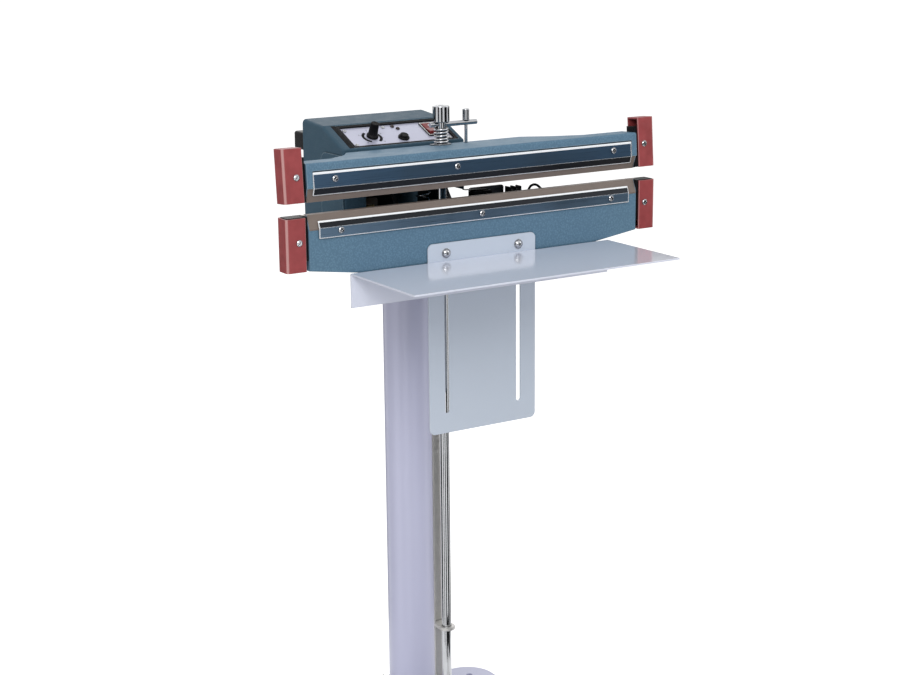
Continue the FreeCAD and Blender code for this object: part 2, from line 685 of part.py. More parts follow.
def build_hinge():
    """Hinge shaft and the clips on both shafts."""
    outside = size.cheek_inner + size.cheek_thick
    shaft = grooved_shaft("hinge_shaft_body", size.shaft_radius, outside)
    shaft.Placement.Base = Vector(0, size.pivot_back, size.pivot_rise)
    node("hinge_shaft", shaft, HEAD)

    def clip(radius):
        thick = CLIP_GROOVE - 0.2
        inner = radius - CLIP_GRIP + size.fit_gap
        ring = Part.makeCylinder(radius + 3, thick).cut(Part.makeCylinder(inner, thick))
        mouth = Part.makeBox(radius * 1.2, 2 * radius + 8, thick, Vector(-radius * 0.6, 0, 0))
        return ring.cut(mouth)

    y = size.pivot_back - size.reach
    z = size.pivot_rise + size.seal_height
    hinge_x = outside + 0.1
    pedal_x = PEDAL_EAR_OUT + 0.1
    group = doc.addObject("Part::Compound", "clip_group")
    group.Links = [
        spots("hinge_clips", clip(size.shaft_radius), [((hinge_x, y, z), (1, 0, 0)), ((-hinge_x, y, z), (-1, 0, 0))]),
        spots("pedal_clips", clip(size.pedal_shaft_radius), [
            ((pedal_x, size.pedal_pivot_back, size.pedal_pivot_height), (1, 0, 0)),
            ((-pedal_x, size.pedal_pivot_back, size.pedal_pivot_height), (-1, 0, 0)),
        ]),
    ]
    node("shaft_clips", group, FLOOR)


# Jaws: what the upper and lower one share. Depth is counted from the sealing plane.

def level(side, depth):
    """Height in the jaw's own frame of a depth below (side -1) or above (side +1) the seal."""
    return -depth if side < 0 else size.close_gap + depth


def flip(side, points):
    """(y, depth) points as (y, z) points of one jaw, ordered so that 'left' is outwards."""
    path = [(y, level(side, depth)) for y, depth in points]
    return path if side < 0 else path[::-1]


def face_path(start, end):
    """The casting's front from one depth to another, round the slanted edge."""
    return [(0, end), (0, size.slant_height), (slant_y(start), start)]


def slant_y(depth):
    """Where the slanted edge lies at a depth."""
    rise = size.slant_height - size.tape_thick
    return size.slant_depth * (size.slant_height - depth) / rise


def strip_screws(side):
    """Screws through the clamp strip."""
    end = strip_half(side)
    depth = 20 if side < 0 else 25
    middle = 0 if side < 0 else -33
    face = -size.tape_thick - size.strip_thick
    return [((x, face, level(side, depth)), (0, -1, 0)) for x in (-end + 28, middle, end - 28)]


def strip_half(side):
    """Half length of a clamp strip."""
    return size.jaw_length / 2 - (size.strip_inset_low if side < 0 else size.strip_inset_up)


def cap_screws(side):
    """One screw through each end cap's front."""
    x = size.jaw_length / 2 + size.cap_gap + size.cap_length * 0.35
    return [((way * x, CAP_FRONT, level(side, 30)), (0, -1, 0)) for way in (-1, 1)]


CAP_FRONT = -1


def build_jaw_dressing(side, frame, prefix, end_depth):
    """Heating ribbon, tape, clamp strip, screws, end blocks and end caps of one jaw."""
    tape = size.tape_thick
    groove_middle = (size.slant_depth + size.seal_back) / 2
    ribbon_half = size.element_width / 2
    top = level(side, tape + 0.02)
    bottom = level(side, tape + 0.02 + size.element_thick)
    ribbon = prism(
        prefix + "_ribbon", "YZ",
        [rectangle(groove_middle - ribbon_half, min(top, bottom), groove_middle + ribbon_half, max(top, bottom))],
        "-jaw_length / 2 - cap_gap * 0.9", "jaw_length + 1.8 * cap_gap",
    )
    node(prefix + "_element", ribbon, frame)

    path = face_path(tape, size.tape_front) + [(size.seal_back, tape), (size.seal_back + 1.5, 12)]
    cover = prism(
        prefix + "_cover", "YZ", [band(flip(side, path), 0, tape)],
        "-jaw_length / 2 + 1", "jaw_length - 2",
    )
    rims = rim_ends(prefix + "_tape_end") if side > 0 else []
    cover = cut(prefix + "_cover_cut", cover, *rims,
                holes(prefix + "_cover_drill", strip_screws(side), size.screw_radius + size.fit_gap, 6))
    node(prefix + "_tape", cover, frame)

    face = flip(side, face_path(size.strip_start, end_depth))
    angle = prism(
        prefix + "_angle", "YZ", [band(face, tape, tape + size.strip_thick)],
        f"{-strip_half(side)}", f"{2 * strip_half(side)}",
    )
    angle = cut(prefix + "_angle_cut", angle,
                holes(prefix + "_angle_drill", strip_screws(side), size.screw_radius + size.fit_gap, 4))
    node(prefix + "_clamp_strip", angle, frame)

    screw = slotted_screw(size.screw_radius, size.screw_head, size.screw_head_height, 8)
    node(prefix + "_screws", spots(prefix + "_screw_group", screw, strip_screws(side) + cap_screws(side)), frame)

    build_end_blocks(side, frame, prefix)
    build_caps(side, frame, prefix)


def build_end_blocks(side, frame, prefix):
    """Black insulating blocks that carry the ribbon's ends and the caps."""
    inner = size.jaw_length / 2
    outer = inner + size.cap_gap + size.cap_length - size.cap_wall - size.part_gap
    low, high = sorted((level(side, 1.2), level(side, 52)))
    blocks = []
    for way in (-1, 1):
        left, right = sorted((way * inner, way * outer))
        name = prefix + ("_block_left" if way < 0 else "_block_right")
        front = CAP_FRONT + size.cap_wall + size.part_gap
        back = CAP_FRONT + size.cap_depth - size.cap_wall - size.part_gap
        blocks.append(prism(name, "XY", [rectangle(left, front, right, back, 2)], f"{low}", f"{high - low}"))
    pair = doc.addObject("Part::Compound", prefix + "_blocks")
    pair.Links = blocks
    drilled = cut(prefix + "_blocks_cut", pair,
                  holes(prefix + "_block_drill", cap_screws(side), size.screw_radius + size.fit_gap, 12))
    node(prefix + "_end_blocks", drilled, frame)


def build_caps(side, frame, prefix):
    """Red covers, open towards the jaw and towards the sealing plane."""
    inner = size.jaw_length / 2 + size.cap_gap
    outer = inner + size.cap_length
    front, back = CAP_FRONT, CAP_FRONT + size.cap_depth
    wall = size.cap_wall
    near = size.cap_offset if side < 0 else size.cap_offset / 2
    low, high = sorted((level(side, near), level(side, near + size.cap_height)))
    caps = []
    for way in (-1, 1):
        name = prefix + ("_cap_left" if way < 0 else "_cap_right")
        skin = outline((way * inner, front, 1), (way * outer, front, 4),
                       (way * outer, back, 3), (way * inner, back, 1))
        shell = prism(name + "_skin", "XY", [skin], f"{low}", f"{high - low}")
        room_low = low - 1 if side > 0 else low + wall
        room = prism(
            name + "_room", "XY",
            [outline((way * (inner - 1), front + wall), (way * (outer - wall), front + wall, 2),
                     (way * (outer - wall), back - wall, 1), (way * (inner - 1), back - wall))],
            f"{room_low}", f"{high - low - wall + 1}",
        )
        caps.append(cut(name, shell, room))
    pair = doc.addObject("Part::Compound", prefix + "_caps")
    pair.Links = caps
    drilled = cut(prefix + "_caps_cut", pair,
                  holes(prefix + "_cap_drill", cap_screws(side), size.screw_radius + size.fit_gap, 5))
    node(prefix + "_end_caps", drilled, frame)


def element_groove(side, prefix):
    """The shallow groove that the heating ribbon lies in."""
    middle = (size.slant_depth + size.seal_back) / 2
    half = size.element_width / 2 + size.fit_gap
    low, high = sorted((level(side, size.tape_thick - 1), level(side, size.tape_thick + size.element_thick + 0.05)))
    return prism(prefix + "_groove", "YZ", [rectangle(middle - half, low, middle + half, high)],
                 "-jaw_length", "2 * jaw_length")


def jaw_edge(side):
    """(y, z) points of the casting's sealing edge, front to back."""
    points = ((0, size.slant_height), (size.slant_depth, size.tape_thick),
              (size.seal_back, size.tape_thick), (size.seal_back + 1.5, 12))
    return [(y, level(side, depth)) for y, depth in points]


def rim_ends(name):
    """The raised rim's two short sides, left and right of the upper clamp strip."""
    return [
        box(f"{name}_{side}", "strip_inset_up - 0.5", "rim_depth", "strip_end_up + 1.5 - slant_height",
            (start, "-rim_depth", "slant_height + close_gap"))
        for side, start in (("left", "-jaw_length / 2"), ("right", "jaw_length / 2 - strip_inset_up + 0.5"))
    ]


def rounded(name, blank, radius, chosen):
    """Rounds the edges of a blank that a test on their bounding box chooses."""
    fillet = doc.addObject("Part::Fillet", name)
    doc.recompute()
    fillet.Base = blank
    fillet.Edges = [
        (number, radius, radius) for number, edge in enumerate(blank.Shape.Edges, 1) if chosen(edge.BoundBox)
    ]
    return fillet


def build_lower_jaw():
    """Lower jaw casting: a beam with a deep middle, hollow and ribbed behind."""
    length = size.jaw_length / 2
    deep, shallow = size.jaw_middle_height, size.jaw_end_height
    beam = prism(
        "lower_beam", "YZ",
        [outline((0, -deep), *jaw_edge(-1), (size.jaw_depth, -18), (size.jaw_depth, -deep))],
        "-jaw_length / 2", "jaw_length",
    )
    mount = size.jaw_mount_half

    def outer_edge(bounds):
        flat = bounds.YMax < 1e-6 or bounds.YMin > size.jaw_depth - 1e-6
        return flat and bounds.ZMin < -size.slant_height - 1 - size.jaw_round

    lower_edges = [
        prism(name, "XZ", [outline((way * mount, -deep - 1), (way * mount, -deep), (way * length, -shallow),
                                   (way * (length + 1), -shallow), (way * (length + 1), -deep - 1))],
              "-1", "jaw_depth + 2")
        for name, way in (("lower_left_taper", -1), ("lower_right_taper", 1))
    ]
    beam = rounded("lower_beam_rounded", cut("lower_beam_tapered", beam, *lower_edges), size.jaw_round, outer_edge)
    cells = []
    wall, rib = size.jaw_wall, size.rib_thick
    roof = -30
    slope = (deep - shallow) / (length - mount)
    first, last = mount + rib, length - wall
    middle = (first + last) / 2
    for way in (-1, 1):
        for start, end in ((first, middle - rib / 2), (middle + rib / 2, last)):
            def sill(x):
                return -deep + slope * (x - mount) + wall
            cells.append(prism(
                f"lower_cell_{len(cells)}", "XZ",
                [outline((way * start, roof, 3), (way * end, roof, 3), (way * end, sill(end), 3),
                         (way * start, sill(start), 3))],
                "jaw_wall", "jaw_depth",
            ))
    tapped = size.screw_radius + size.fit_gap
    plate_tap = size.plate_screw_radius + size.fit_gap
    casting = cut(
        "lower_casting", beam, *cells, element_groove(-1, "lower"),
        holes("lower_strip_taps", strip_screws(-1), tapped, 9),
        holes("lower_bolt_taps", JAW_BOLTS, size.bolt_radius + size.fit_gap, size.floor_thick + 12),
        holes("lower_plate_taps", PLATE_SCREWS, plate_tap, 14),
    )
    node("lower_jaw", casting, HEAD)


def build_upper_jaw():
    """Upper jaw casting: beam, broad web and the tail that runs back to the hinge."""
    top, depth, rim = size.arm_top, size.arm_depth, size.rim_depth
    ledge = level(1, size.strip_end_up + 1.5)
    edge = jaw_edge(1)
    beam = prism(
        "upper_beam", "YZ",
        [outline(*edge, (depth, 20), (depth, top + 1, 3), (-rim, top, 3), (-rim, ledge), (0, ledge))],
        "-jaw_length / 2", "jaw_length",
    )
    ends = rim_ends("upper_rim")
    pivot, rise, hub = size.pivot_back, size.pivot_rise, size.hub_radius
    lift = size.lift_spring_back
    side = outline(
        (depth - 4, 18), (depth - 4, top), (size.web_back, top, 4), (size.web_back + 2, top - 7, 3),
        (pivot - 26, rise + hub + 6, 12),
        (pivot + hub, rise + hub, hub * 0.97), (pivot + hub, rise - hub, hub * 0.97),
        (pivot - hub, rise - hub, 8), (lift + 14, 2, 3), (lift - 16, 2, 4), (size.web_back, 14, 6),
    )
    profile = prism("arm_profile", "YZ", [side], "-web_root - 1", "2 * web_root + 2")
    tail, half, root = size.tail_half, size.web_half, size.web_root
    knee = half + (root - half) * 0.33
    right = [(tail, pivot + hub + 1), (tail, size.web_back, 6), (half, size.web_back, 8),
             (knee, 66, 60), (root, depth - 4)]
    plan = outline(*right, *[(-corner[0], *corner[1:]) for corner in reversed(right)])
    spread = prism("arm_plan", "XY", [plan], "-60", "140")
    web = common("arm_web", profile, spread)
    blank = fuse("arm_blank", beam, *ends, web)

    skin, rib = size.web_skin, size.rib_thick
    hollow = prism(
        "arm_hollow", "XY",
        [outline((-knee - 12, depth + 2, 4), (-half + 2, size.web_back - rib, 6),
                 (half - 2, size.web_back - rib, 6), (knee + 12, depth + 2, 4))],
        "-20", "arm_top - web_skin + 20",
    )
    rod_boss = cylinder("rod_boss", "seat_radius + 3", "120", ("0", "rod_back - 2", "-40"))
    switch_boss = cylinder("switch_boss", "switch_rod_radius + 6", "120", ("switch_rod_x", "rod_back", "-40"))
    ribs = [
        box(f"arm_rib_{index}", "rib_thick", "web_back", "120", (f"{x} - rib_thick / 2", "arm_depth - 10", "-40"))
        for index, x in enumerate((-100, -50, 0, 60, 105))
    ]
    hollow = cut("arm_hollow_cut", hollow, rod_boss, switch_boss, *ribs)
    slack = size.slot_slack
    rod_slot = prism(
        "rod_slot", "XY",
        [slot(0, size.rod_back - size.rod_radius - slack - 1.5, size.rod_back + size.rod_radius + slack - 1,
              size.rod_radius + 1)],
        "-40", "140",
    )
    switch_slot = prism(
        "switch_slot", "XY",
        [slot(size.switch_rod_x, size.rod_back - size.switch_rod_radius - slack - 1.5,
              size.rod_back + size.switch_rod_radius + slack - 1, size.switch_rod_radius + 1)],
        "-40", "140",
    )
    recess = cylinder("seat_recess", "seat_radius + 1", "20", ("0", "rod_back - 2", "arm_top - seat_thick / 2"))
    bore = cylinder("arm_bore", "shaft_radius + bush_wall", "2 * tail_half + 2",
                    ("-tail_half - 1", "pivot_back", "pivot_rise"), "x")
    casting = cut(
        "upper_casting", blank, hollow, rod_slot, switch_slot, recess, bore, element_groove(1, "upper"),
        holes("upper_strip_taps", strip_screws(1), size.screw_radius + size.fit_gap, 9),
    )
    node("upper_jaw_arm", casting, ARM)

    inner = size.shaft_radius + size.fit_gap
    outer = size.shaft_radius + size.bush_wall - size.fit_gap / 2
    sleeve = Part.makeCylinder(outer, 22, Vector(0, 0, -22)).fuse(Part.makeCylinder(outer + 3, 1.6))
    sleeve = sleeve.cut(Part.makeCylinder(inner, 40, Vector(0, 0, -30))).removeSplitter()
    pair = spots("arm_bush_pair", sleeve, [
        ((-tail, pivot, rise), (-1, 0, 0)), ((tail, pivot, rise), (1, 0, 0)),
    ])
    node("arm_bushes", pair, ARM)

    ring = prism(
        "seat_body", "XY",
        [circle(0, size.rod_back - 2, size.seat_radius),
         slot(0, size.rod_back - size.rod_radius - slack - 1.5, size.rod_back + size.rod_radius + slack - 1,
              size.rod_radius + 1)],
        "arm_top - seat_thick / 2", "seat_thick",
    )
    node("spring_seat", ring, ARM)


# Pull rod with its nut, spring, cross bar and switch rod

def coil(name, mean, wire, low, high, turns, x, y):
    """A compression spring standing on Z, ground flat by ending half a wire inside."""
    pitch = (high - low - 2 * wire) / turns
    path = Part.makeHelix(pitch, high - low - 2 * wire, mean)
    start = Vector(mean, 0, 0)
    section = Part.Wire(Part.makeCircle(wire, start, Vector(0, 1, pitch / (2 * math.pi * mean))))
    body = Part.Wire(path.Edges).makePipeShell([section], True, True)
    spring = doc.addObject("Part::Feature", name)
    spring.Shape = body
    spring.Placement = Placement(Vector(x, y, low + wire), Rotation())
    return spring


def arm_rest_point(y, z):
    """Where a point of the closed arm lies at rest, in the head frame."""
    return SWING.multVec(Vector(0, y, z))


SEAT_TOP = size.arm_top + size.seat_thick / 2
TRUNNION_Z = size.pedal_pivot_height + size.rod_stroke / 2


def build_rod_parts():
    """Everything that slides with the pull rod."""
    low = TRUNNION_Z - size.trunnion_half - 14
    top = size.seal_height + size.bar_rise + size.bar_radius + size.nut_height - 3
    rod = turned("rod_body", [(0, low), (size.rod_radius - 1, low), (size.rod_radius, low + 1),
                              (size.rod_radius, top - 1), (size.rod_radius - 1, top), (0, top)])
    rod.Placement = Placement(Vector(0, ROD_Y, 0), Rotation())
    bar_hole = cylinder("rod_bar_hole", "bar_radius + fit_gap", "30",
                        ("-15", "rod_back - reach", "seal_height + bar_rise"), "x")
    node("pull_rod", cut("rod_drilled", rod, bar_hole), FLOOR)

    bar = cylinder("bar_body", "bar_radius", "bar_left + bar_right", ("-bar_left", "rod_back", "bar_rise"), "x")
    bar_end = cylinder("bar_end_bore", "bar_radius * 0.6", "9", ("bar_right - 8", "rod_back", "bar_rise"), "x")
    pin_hole = cylinder("bar_pin_hole", "switch_rod_radius + fit_gap", "20",
                        ("switch_rod_x", "rod_back", "bar_rise - 10"))
    node("cross_bar", cut("bar_drilled", bar, bar_end, pin_hole), HEAD)

    thin, base = size.switch_rod_radius, size.bar_rise + size.bar_radius
    pin = turned("switch_rod_body", [
        (0, size.switch_rod_end), (thin - 0.5, size.switch_rod_end), (thin, size.switch_rod_end + 0.8), (thin, base),
        (4.2, base), (4.2, base + 14, 1.2), (0, base + 14),
    ])
    pin.Placement = Placement(Vector(size.switch_rod_x, size.rod_back, 0), Rotation())
    node("switch_rod", pin, HEAD)

    radius, height = size.nut_radius, size.nut_height
    bore = size.rod_radius + size.fit_gap
    foot = size.bar_rise + size.bar_radius + 0.1
    nut = turned("nut_body", [
        (bore, foot), (radius, foot, 0.6), (radius, foot + height, 1.5), (3.5, foot + height, 0.5),
        (3.5, foot + height - 1), (0, foot + height - 1), (0, foot + height - 2.5), (bore, foot + height - 2.5),
    ])
    nut.Placement = Placement(Vector(0, size.rod_back, 0), Rotation())
    node("pressure_nut", nut, HEAD)

    seat = arm_rest_point(size.rod_back - size.spring_mean - size.wire_radius, SEAT_TOP)
    low = seat.z + size.part_gap
    high = size.bar_rise - size.bar_radius - 0.05
    spring = coil("pressure_coil", size.spring_mean, size.wire_radius, low, high, 4.5, 0, size.rod_back)
    node("pressure_spring", spring, HEAD)

    half = size.trunnion_half
    y = ROD_Y
    block = prism("trunnion_block", "XZ", [rectangle(-half, TRUNNION_Z - half, half, TRUNNION_Z + half, 2)],
                  "rod_back - reach - trunnion_half", "2 * trunnion_half")
    pin = cylinder("trunnion_pin", "trunnion_pin", "2 * lever_x + 2 * lever_thick",
                   ("-lever_x - lever_thick", "rod_back - reach", f"{TRUNNION_Z}"), "x")
    rod_hole = cylinder("trunnion_hole", "rod_radius + fit_gap", "60",
                        ("0", "rod_back - reach", f"{TRUNNION_Z - 30}"))
    node("rod_trunnion", cut("trunnion_cut", fuse("trunnion", block, pin), rod_hole), FLOOR)

    nut = hexagon(10.5, 8).cut(Part.makeCylinder(size.rod_radius + size.fit_gap, 8))
    pair = spots("lock_nuts", nut, [((0, y, TRUNNION_Z + half), (0, 0, 1)), ((0, y, TRUNNION_Z - half), (0, 0, -1))])
    node("rod_nuts", pair, FLOOR)


def build_lift_spring():
    """The spring that holds the jaws open, between the bracket's plate and the arm."""
    lift = size.lift_spring_back
    under = arm_rest_point(lift + size.spring_mean + size.wire_radius, 2)
    node("lift_spring", coil("lift_coil", size.spring_mean, size.wire_radius, -size.floor_drop + 0.05,
                             under.z - size.part_gap, 8, 0, lift), HEAD)


# Control housing and what it carries

def slope_point(along, out):
    """(y, z) in the head frame of a point along the panel slope and out from it."""
    angle = math.radians(size.panel_angle)
    return (size.box_front + along * math.cos(angle) - out * math.sin(angle),
            size.box_sill + along * math.sin(angle) + out * math.cos(angle))


COVER_SCREWS = [
    ((LEFT_OUT - 1.5, 122, -46), (-1, 0, 0)),
    ((LEFT_OUT - 1.5, 160, 18), (-1, 0, 0)),
]


def build_housing():
    """Folded housing with a sloped front, open below and in front."""
    left, right, wall = size.box_left, size.box_right, size.box_wall
    front, back, top = size.box_front, BACK_OUT, size.box_top
    foot = -size.floor_drop - size.floor_thick
    brow = slope_point(size.panel_slope, 0)
    skin = prism("housing_skin", "YZ",
                 [outline((front, foot), (front, size.box_sill, 2), (*brow, 4), (back, top, 7), (back, foot))],
                 "-box_left", "box_left + box_right")
    edges = doc.addObject("Part::Fillet", "housing_rounded")
    edges.Base = skin
    doc.recompute()
    rounded = []
    for number, edge in enumerate(skin.Shape.Edges, 1):
        bounds = edge.BoundBox
        on_side = bounds.XLength < 1e-6
        if on_side and bounds.ZMin > foot + 1e-6 or on_side and bounds.ZLength > 50:
            rounded.append((number, 3.5, 3.5))
    edges.Edges = rounded
    angle = math.radians(size.panel_angle)
    bend = wall * (1 - math.sin(angle)) / math.cos(angle)
    room = prism("housing_room", "YZ",
                 [outline((front + wall, foot - 1), slope_point(bend, -wall),
                          slope_point(size.panel_slope, -wall), (back - wall, top - wall), (back - wall, foot - 1))],
                 "-box_left + box_wall", "box_left + box_right - 2 * box_wall")
    door = prism("housing_door", "XZ",
                 [outline((-size.box_door_left, foot - 1), (-size.box_door_left, size.box_sill - 4.5, 5),
                          (right - wall, size.box_sill - 4.5), (right - wall, -size.box_side_cut),
                          (right + 1, -size.box_side_cut), (right + 1, foot - 1))],
                 "box_front - 1", "box_wall + 2")
    side_cut = box("housing_side_cut", "2 * box_wall + 2", "box_depth - box_wall + 1", "floor_drop + floor_thick",
                   ("box_right - box_wall - 1", "box_front - 1", "-box_side_cut - floor_drop - floor_thick"))
    window = prism("housing_window", "XY",
                   [rectangle(-size.window_left, size.window_margin, size.window_right,
                              size.panel_slope - size.window_margin, 2)],
                   "-2 * box_wall", "3 * box_wall")
    window.Placement = HEAD.inverse() * PANEL
    inlet_hole = prism("inlet_hole", "XZ", [rectangle(*INLET, 2)],
                       "box_front + box_depth - 2 * box_wall", "3 * box_wall")
    tapped = size.screw_radius + size.fit_gap
    housing = cut(
        "housing", edges, room, door, side_cut, window, inlet_hole,
        holes("housing_drill", HOUSING_SCREWS, tapped, 6),
        holes("housing_cover_drill", COVER_SCREWS, tapped, 6),
    )
    node("control_housing", housing, HEAD)

    cover = prism("cover_plate", "YZ",
                  [outline((front + 1, foot + 2, 2), (front + 1, 46, 2), (168, 46, 14), (168, foot + 2, 2))],
                  "-box_left - 1.5", "1.5")
    cover = cut("cover_cut", cover, holes("cover_drill", COVER_SCREWS, tapped, 4))
    node("side_cover", cover, HEAD)

    screw = slotted_screw(size.screw_radius, size.screw_head, size.screw_head_height, 8)
    short = slotted_screw(size.screw_radius, size.screw_head, size.screw_head_height, 4)
    small = slotted_screw(size.small_screw, 2.6, 1.4, 4)
    group = doc.addObject("Part::Compound", "housing_screw_group")
    panel_parts = spots("panel_screw_set", small, PANEL_SCREWS)
    panel_parts.Placement = HEAD.inverse() * PANEL
    strip_parts = [((x, y + size.reach, z - size.seal_height), way) for (x, y, z), way in GUIDE_FOOT]
    group.Links = [
        spots("side_screws", screw, HOUSING_SCREWS),
        spots("cover_screws", short, COVER_SCREWS),
        panel_parts,
        spots("guide_screws", screw, strip_parts + [((0, GUIDE_SCREW_Y + size.reach, -size.floor_drop), (0, 0, 1))]),
        spots("switch_screws", slotted_screw(size.small_screw, 2.6, 1.4, 13), SWITCH_SCREWS),
    ]
    node("housing_screws", group, HEAD)

    x0, z0, x1, z1 = INLET
    body = prism("inlet_body", "XZ", [rectangle(x0 + 0.2, z0 + 0.2, x1 - 0.2, z1 - 0.2, 2)],
                 "box_front + box_depth - box_wall - 8", "box_wall + 8")
    shell = prism("inlet_shell", "XZ", [rectangle(x0 - 2, z0 - 2, x1 + 2, z1 + 2, 3)],
                  "box_front + box_depth", "30")
    socket = prism("inlet_socket", "XZ", [outline((x0 + 3, z0 + 3), (x1 - 3, z0 + 3), (x1 - 3, z1 - 6), (x1 - 7, z1 - 3),
                                                  (x0 + 7, z1 - 3), (x0 + 3, z1 - 6))],
                   "box_front + box_depth + 10", "24")
    node("inlet_box", cut("inlet_cut", fuse("inlet_blank", body, shell), socket), HEAD)


INLET = (-size.box_left + 7, 42, -size.box_left + 33, 60.5)
PANEL_FACE = -size.box_wall
PANEL_LEFT = -size.window_left + size.bezel_width
PANEL_RIGHT = size.window_right - size.bezel_width
PANEL_LOW = size.window_margin + size.bezel_width
PANEL_HIGH = size.panel_slope - size.window_margin - size.bezel_width
PANEL_SCREWS = [
    ((x, y, PANEL_FACE), (0, 0, 1))
    for x, y in ((PANEL_LEFT + 5, PANEL_HIGH - 6), (PANEL_LEFT + 5, PANEL_LOW + 5),
                 (PANEL_RIGHT - 4, PANEL_LOW + 5), (-45, PANEL_HIGH - 5))
]
LAMPS = [((-31.5, 47, PANEL_FACE), (0, 0, 1)), ((-26.5, 41, PANEL_FACE), (0, 0, 1))]
FUSE = (-29.5, 19.5)
ROCKER_HALF = (9.5, 13)


def build_panel():
    """Panel, trim, timer, lamps, fuse holder, rocker frame and circuit board."""
    face = PANEL_FACE
    wx0, wy0 = -size.window_left, size.window_margin
    wx1, wy1 = size.window_right, size.panel_slope - size.window_margin
    trim = prism("bezel_body", "XY",
                 [rectangle(wx0 + 0.1, wy0 + 0.1, wx1 - 0.1, wy1 - 0.1, 1.9),
                  rectangle(PANEL_LEFT, PANEL_LOW, PANEL_RIGHT, PANEL_HIGH, 1)],
                 "-box_wall", "box_wall - 0.4")
    node("panel_bezel", trim, PANEL)

    rx, ry = size.rocker_x, size.rocker_y
    hx, hy = ROCKER_HALF
    sheet_metal = prism(
        "panel_body", "XY",
        [rectangle(wx0 - 4, wy0 - 0.5, wx1 + 3, wy1 + 0.5, 2), circle(size.knob_x, size.knob_y, 3.7),
         circle(*FUSE, 6.1), rectangle(rx - hx - 1, ry - hy - 1, rx + hx + 1, ry + hy + 1)],
        "-box_wall - panel_thick", "panel_thick",
    )
    plate = cut("panel_cut", sheet_metal,
                holes("panel_drill", PANEL_SCREWS, size.small_screw + size.fit_gap, 4),
                holes("panel_lamp_drill", LAMPS, 2.0 + size.fit_gap, 4))
    node("control_panel", plate, PANEL)

    rear = face - size.panel_thick
    body = turned("timer_case", [(3.1, rear - 14), (11, rear - 14, 1), (11, rear, 1), (3.1, rear)])
    bushing = turned("timer_bushing", [(3.1, rear - 1), (3.6, rear - 1), (3.6, face + 0.4), (3.1, face + 0.4)])
    timer = fuse("timer_blank", body, bushing)
    timer.Placement = Placement(Vector(size.knob_x, size.knob_y, 0), Rotation())
    node("timer_body", timer, PANEL)
    stem = cylinder("timer_stem", "3.05", "box_wall + panel_thick + 26",
                    ("knob_x", "knob_y", f"{rear - 14}"))
    flat = box("timer_flat", "7", "7", "9", ("knob_x - 3.5", "knob_y + 2", f"{rear + 18}"))
    node("timer_shaft", cut("timer_stem_cut", stem, flat), PANEL)

    grip = size.knob_radius
    start = face + 0.8
    knob = turned("knob_body", [
        (0, start + size.knob_height - 2), (0, start + size.knob_height), (grip - 0.8, start + size.knob_height, 0.8),
        (grip, start + 4), (grip + 1.4, start + 2.5), (grip + 1.4, start), (3.1, start), (3.1, start + size.knob_height - 2),
    ])
    knob.Placement = Placement(Vector(size.knob_x, size.knob_y, 0), Rotation())
    flutes = Part.makeCylinder(0.8, size.knob_height, Vector(grip + 0.35, 0, start + 4))
    around = []
    for step in range(12):
        flute = flutes.copy()
        flute.rotate(Vector(), Vector(0, 0, 1), 30 * step)
        around.append(flute)
    grooves = doc.addObject("Part::Feature", "knob_flutes")
    grooves.Shape = Part.makeCompound(around)
    grooves.Placement = Placement(Vector(size.knob_x, size.knob_y, 0), Rotation())
    pointer = box("knob_pointer", "0.9", "knob_radius - 1", "1",
                  ("knob_x - 0.45", "knob_y + 1", f"{start + size.knob_height - 0.5}"))
    node("timer_knob", cut("knob_cut", knob, grooves, pointer), PANEL)

    lens = Part.makeCylinder(2.0, 8, Vector(0, 0, -8)).fuse(Part.makeCylinder(2.6, 1)).fuse(
        Part.makeCone(2.6, 1.4, 1.2, Vector(0, 0, 1))).removeSplitter()
    node("pilot_lamps", spots("lamp_pair", lens, LAMPS), PANEL)

    holder = turned("fuse_body", [(0, rear - 16), (6, rear - 16), (6, face), (7.2, face), (7.2, face + 2, 0.6),
                                  (5.4, face + 2), (5.4, face + 5, 0.8), (0, face + 5)])
    holder.Placement = Placement(Vector(FUSE[0], FUSE[1], 0), Rotation())
    groove = box("fuse_slot", "9", "1.2", "2", (f"{FUSE[0] - 4.5}", f"{FUSE[1] - 0.6}", f"{face + 3.8}"))
    node("fuse_holder", cut("fuse_cut", holder, groove), PANEL)

    frame = prism("rocker_rim", "XY",
                  [rectangle(rx - hx - 2.5, ry - hy - 2.5, rx + hx + 2.5, ry + hy + 2.5, 1.5),
                   rectangle(rx - hx, ry - hy, rx + hx, ry + hy)],
                  "-box_wall", "1.6")
    case = prism("rocker_case", "XY",
                 [rectangle(rx - hx - 0.9, ry - hy - 0.9, rx + hx + 0.9, ry + hy + 0.9),
                  rectangle(rx - hx, ry - hy, rx + hx, ry + hy)],
                 "-box_wall - 14", "14")
    floor = box("rocker_floor", f"{2 * hx + 1.8}", f"{2 * hy + 1.8}", "3",
                (f"{rx - hx - 0.9}", f"{ry - hy - 0.9}", "-box_wall - 14"))
    axle_hole = cylinder("rocker_axle_hole", "1.2 + fit_gap", f"{2 * hx + 6}",
                         (f"{rx - hx - 3}", "rocker_y", "-box_wall - 3"), "x")
    node("rocker_frame", cut("rocker_frame_cut", fuse("rocker_frame_blank", frame, case, floor), axle_hole), PANEL)

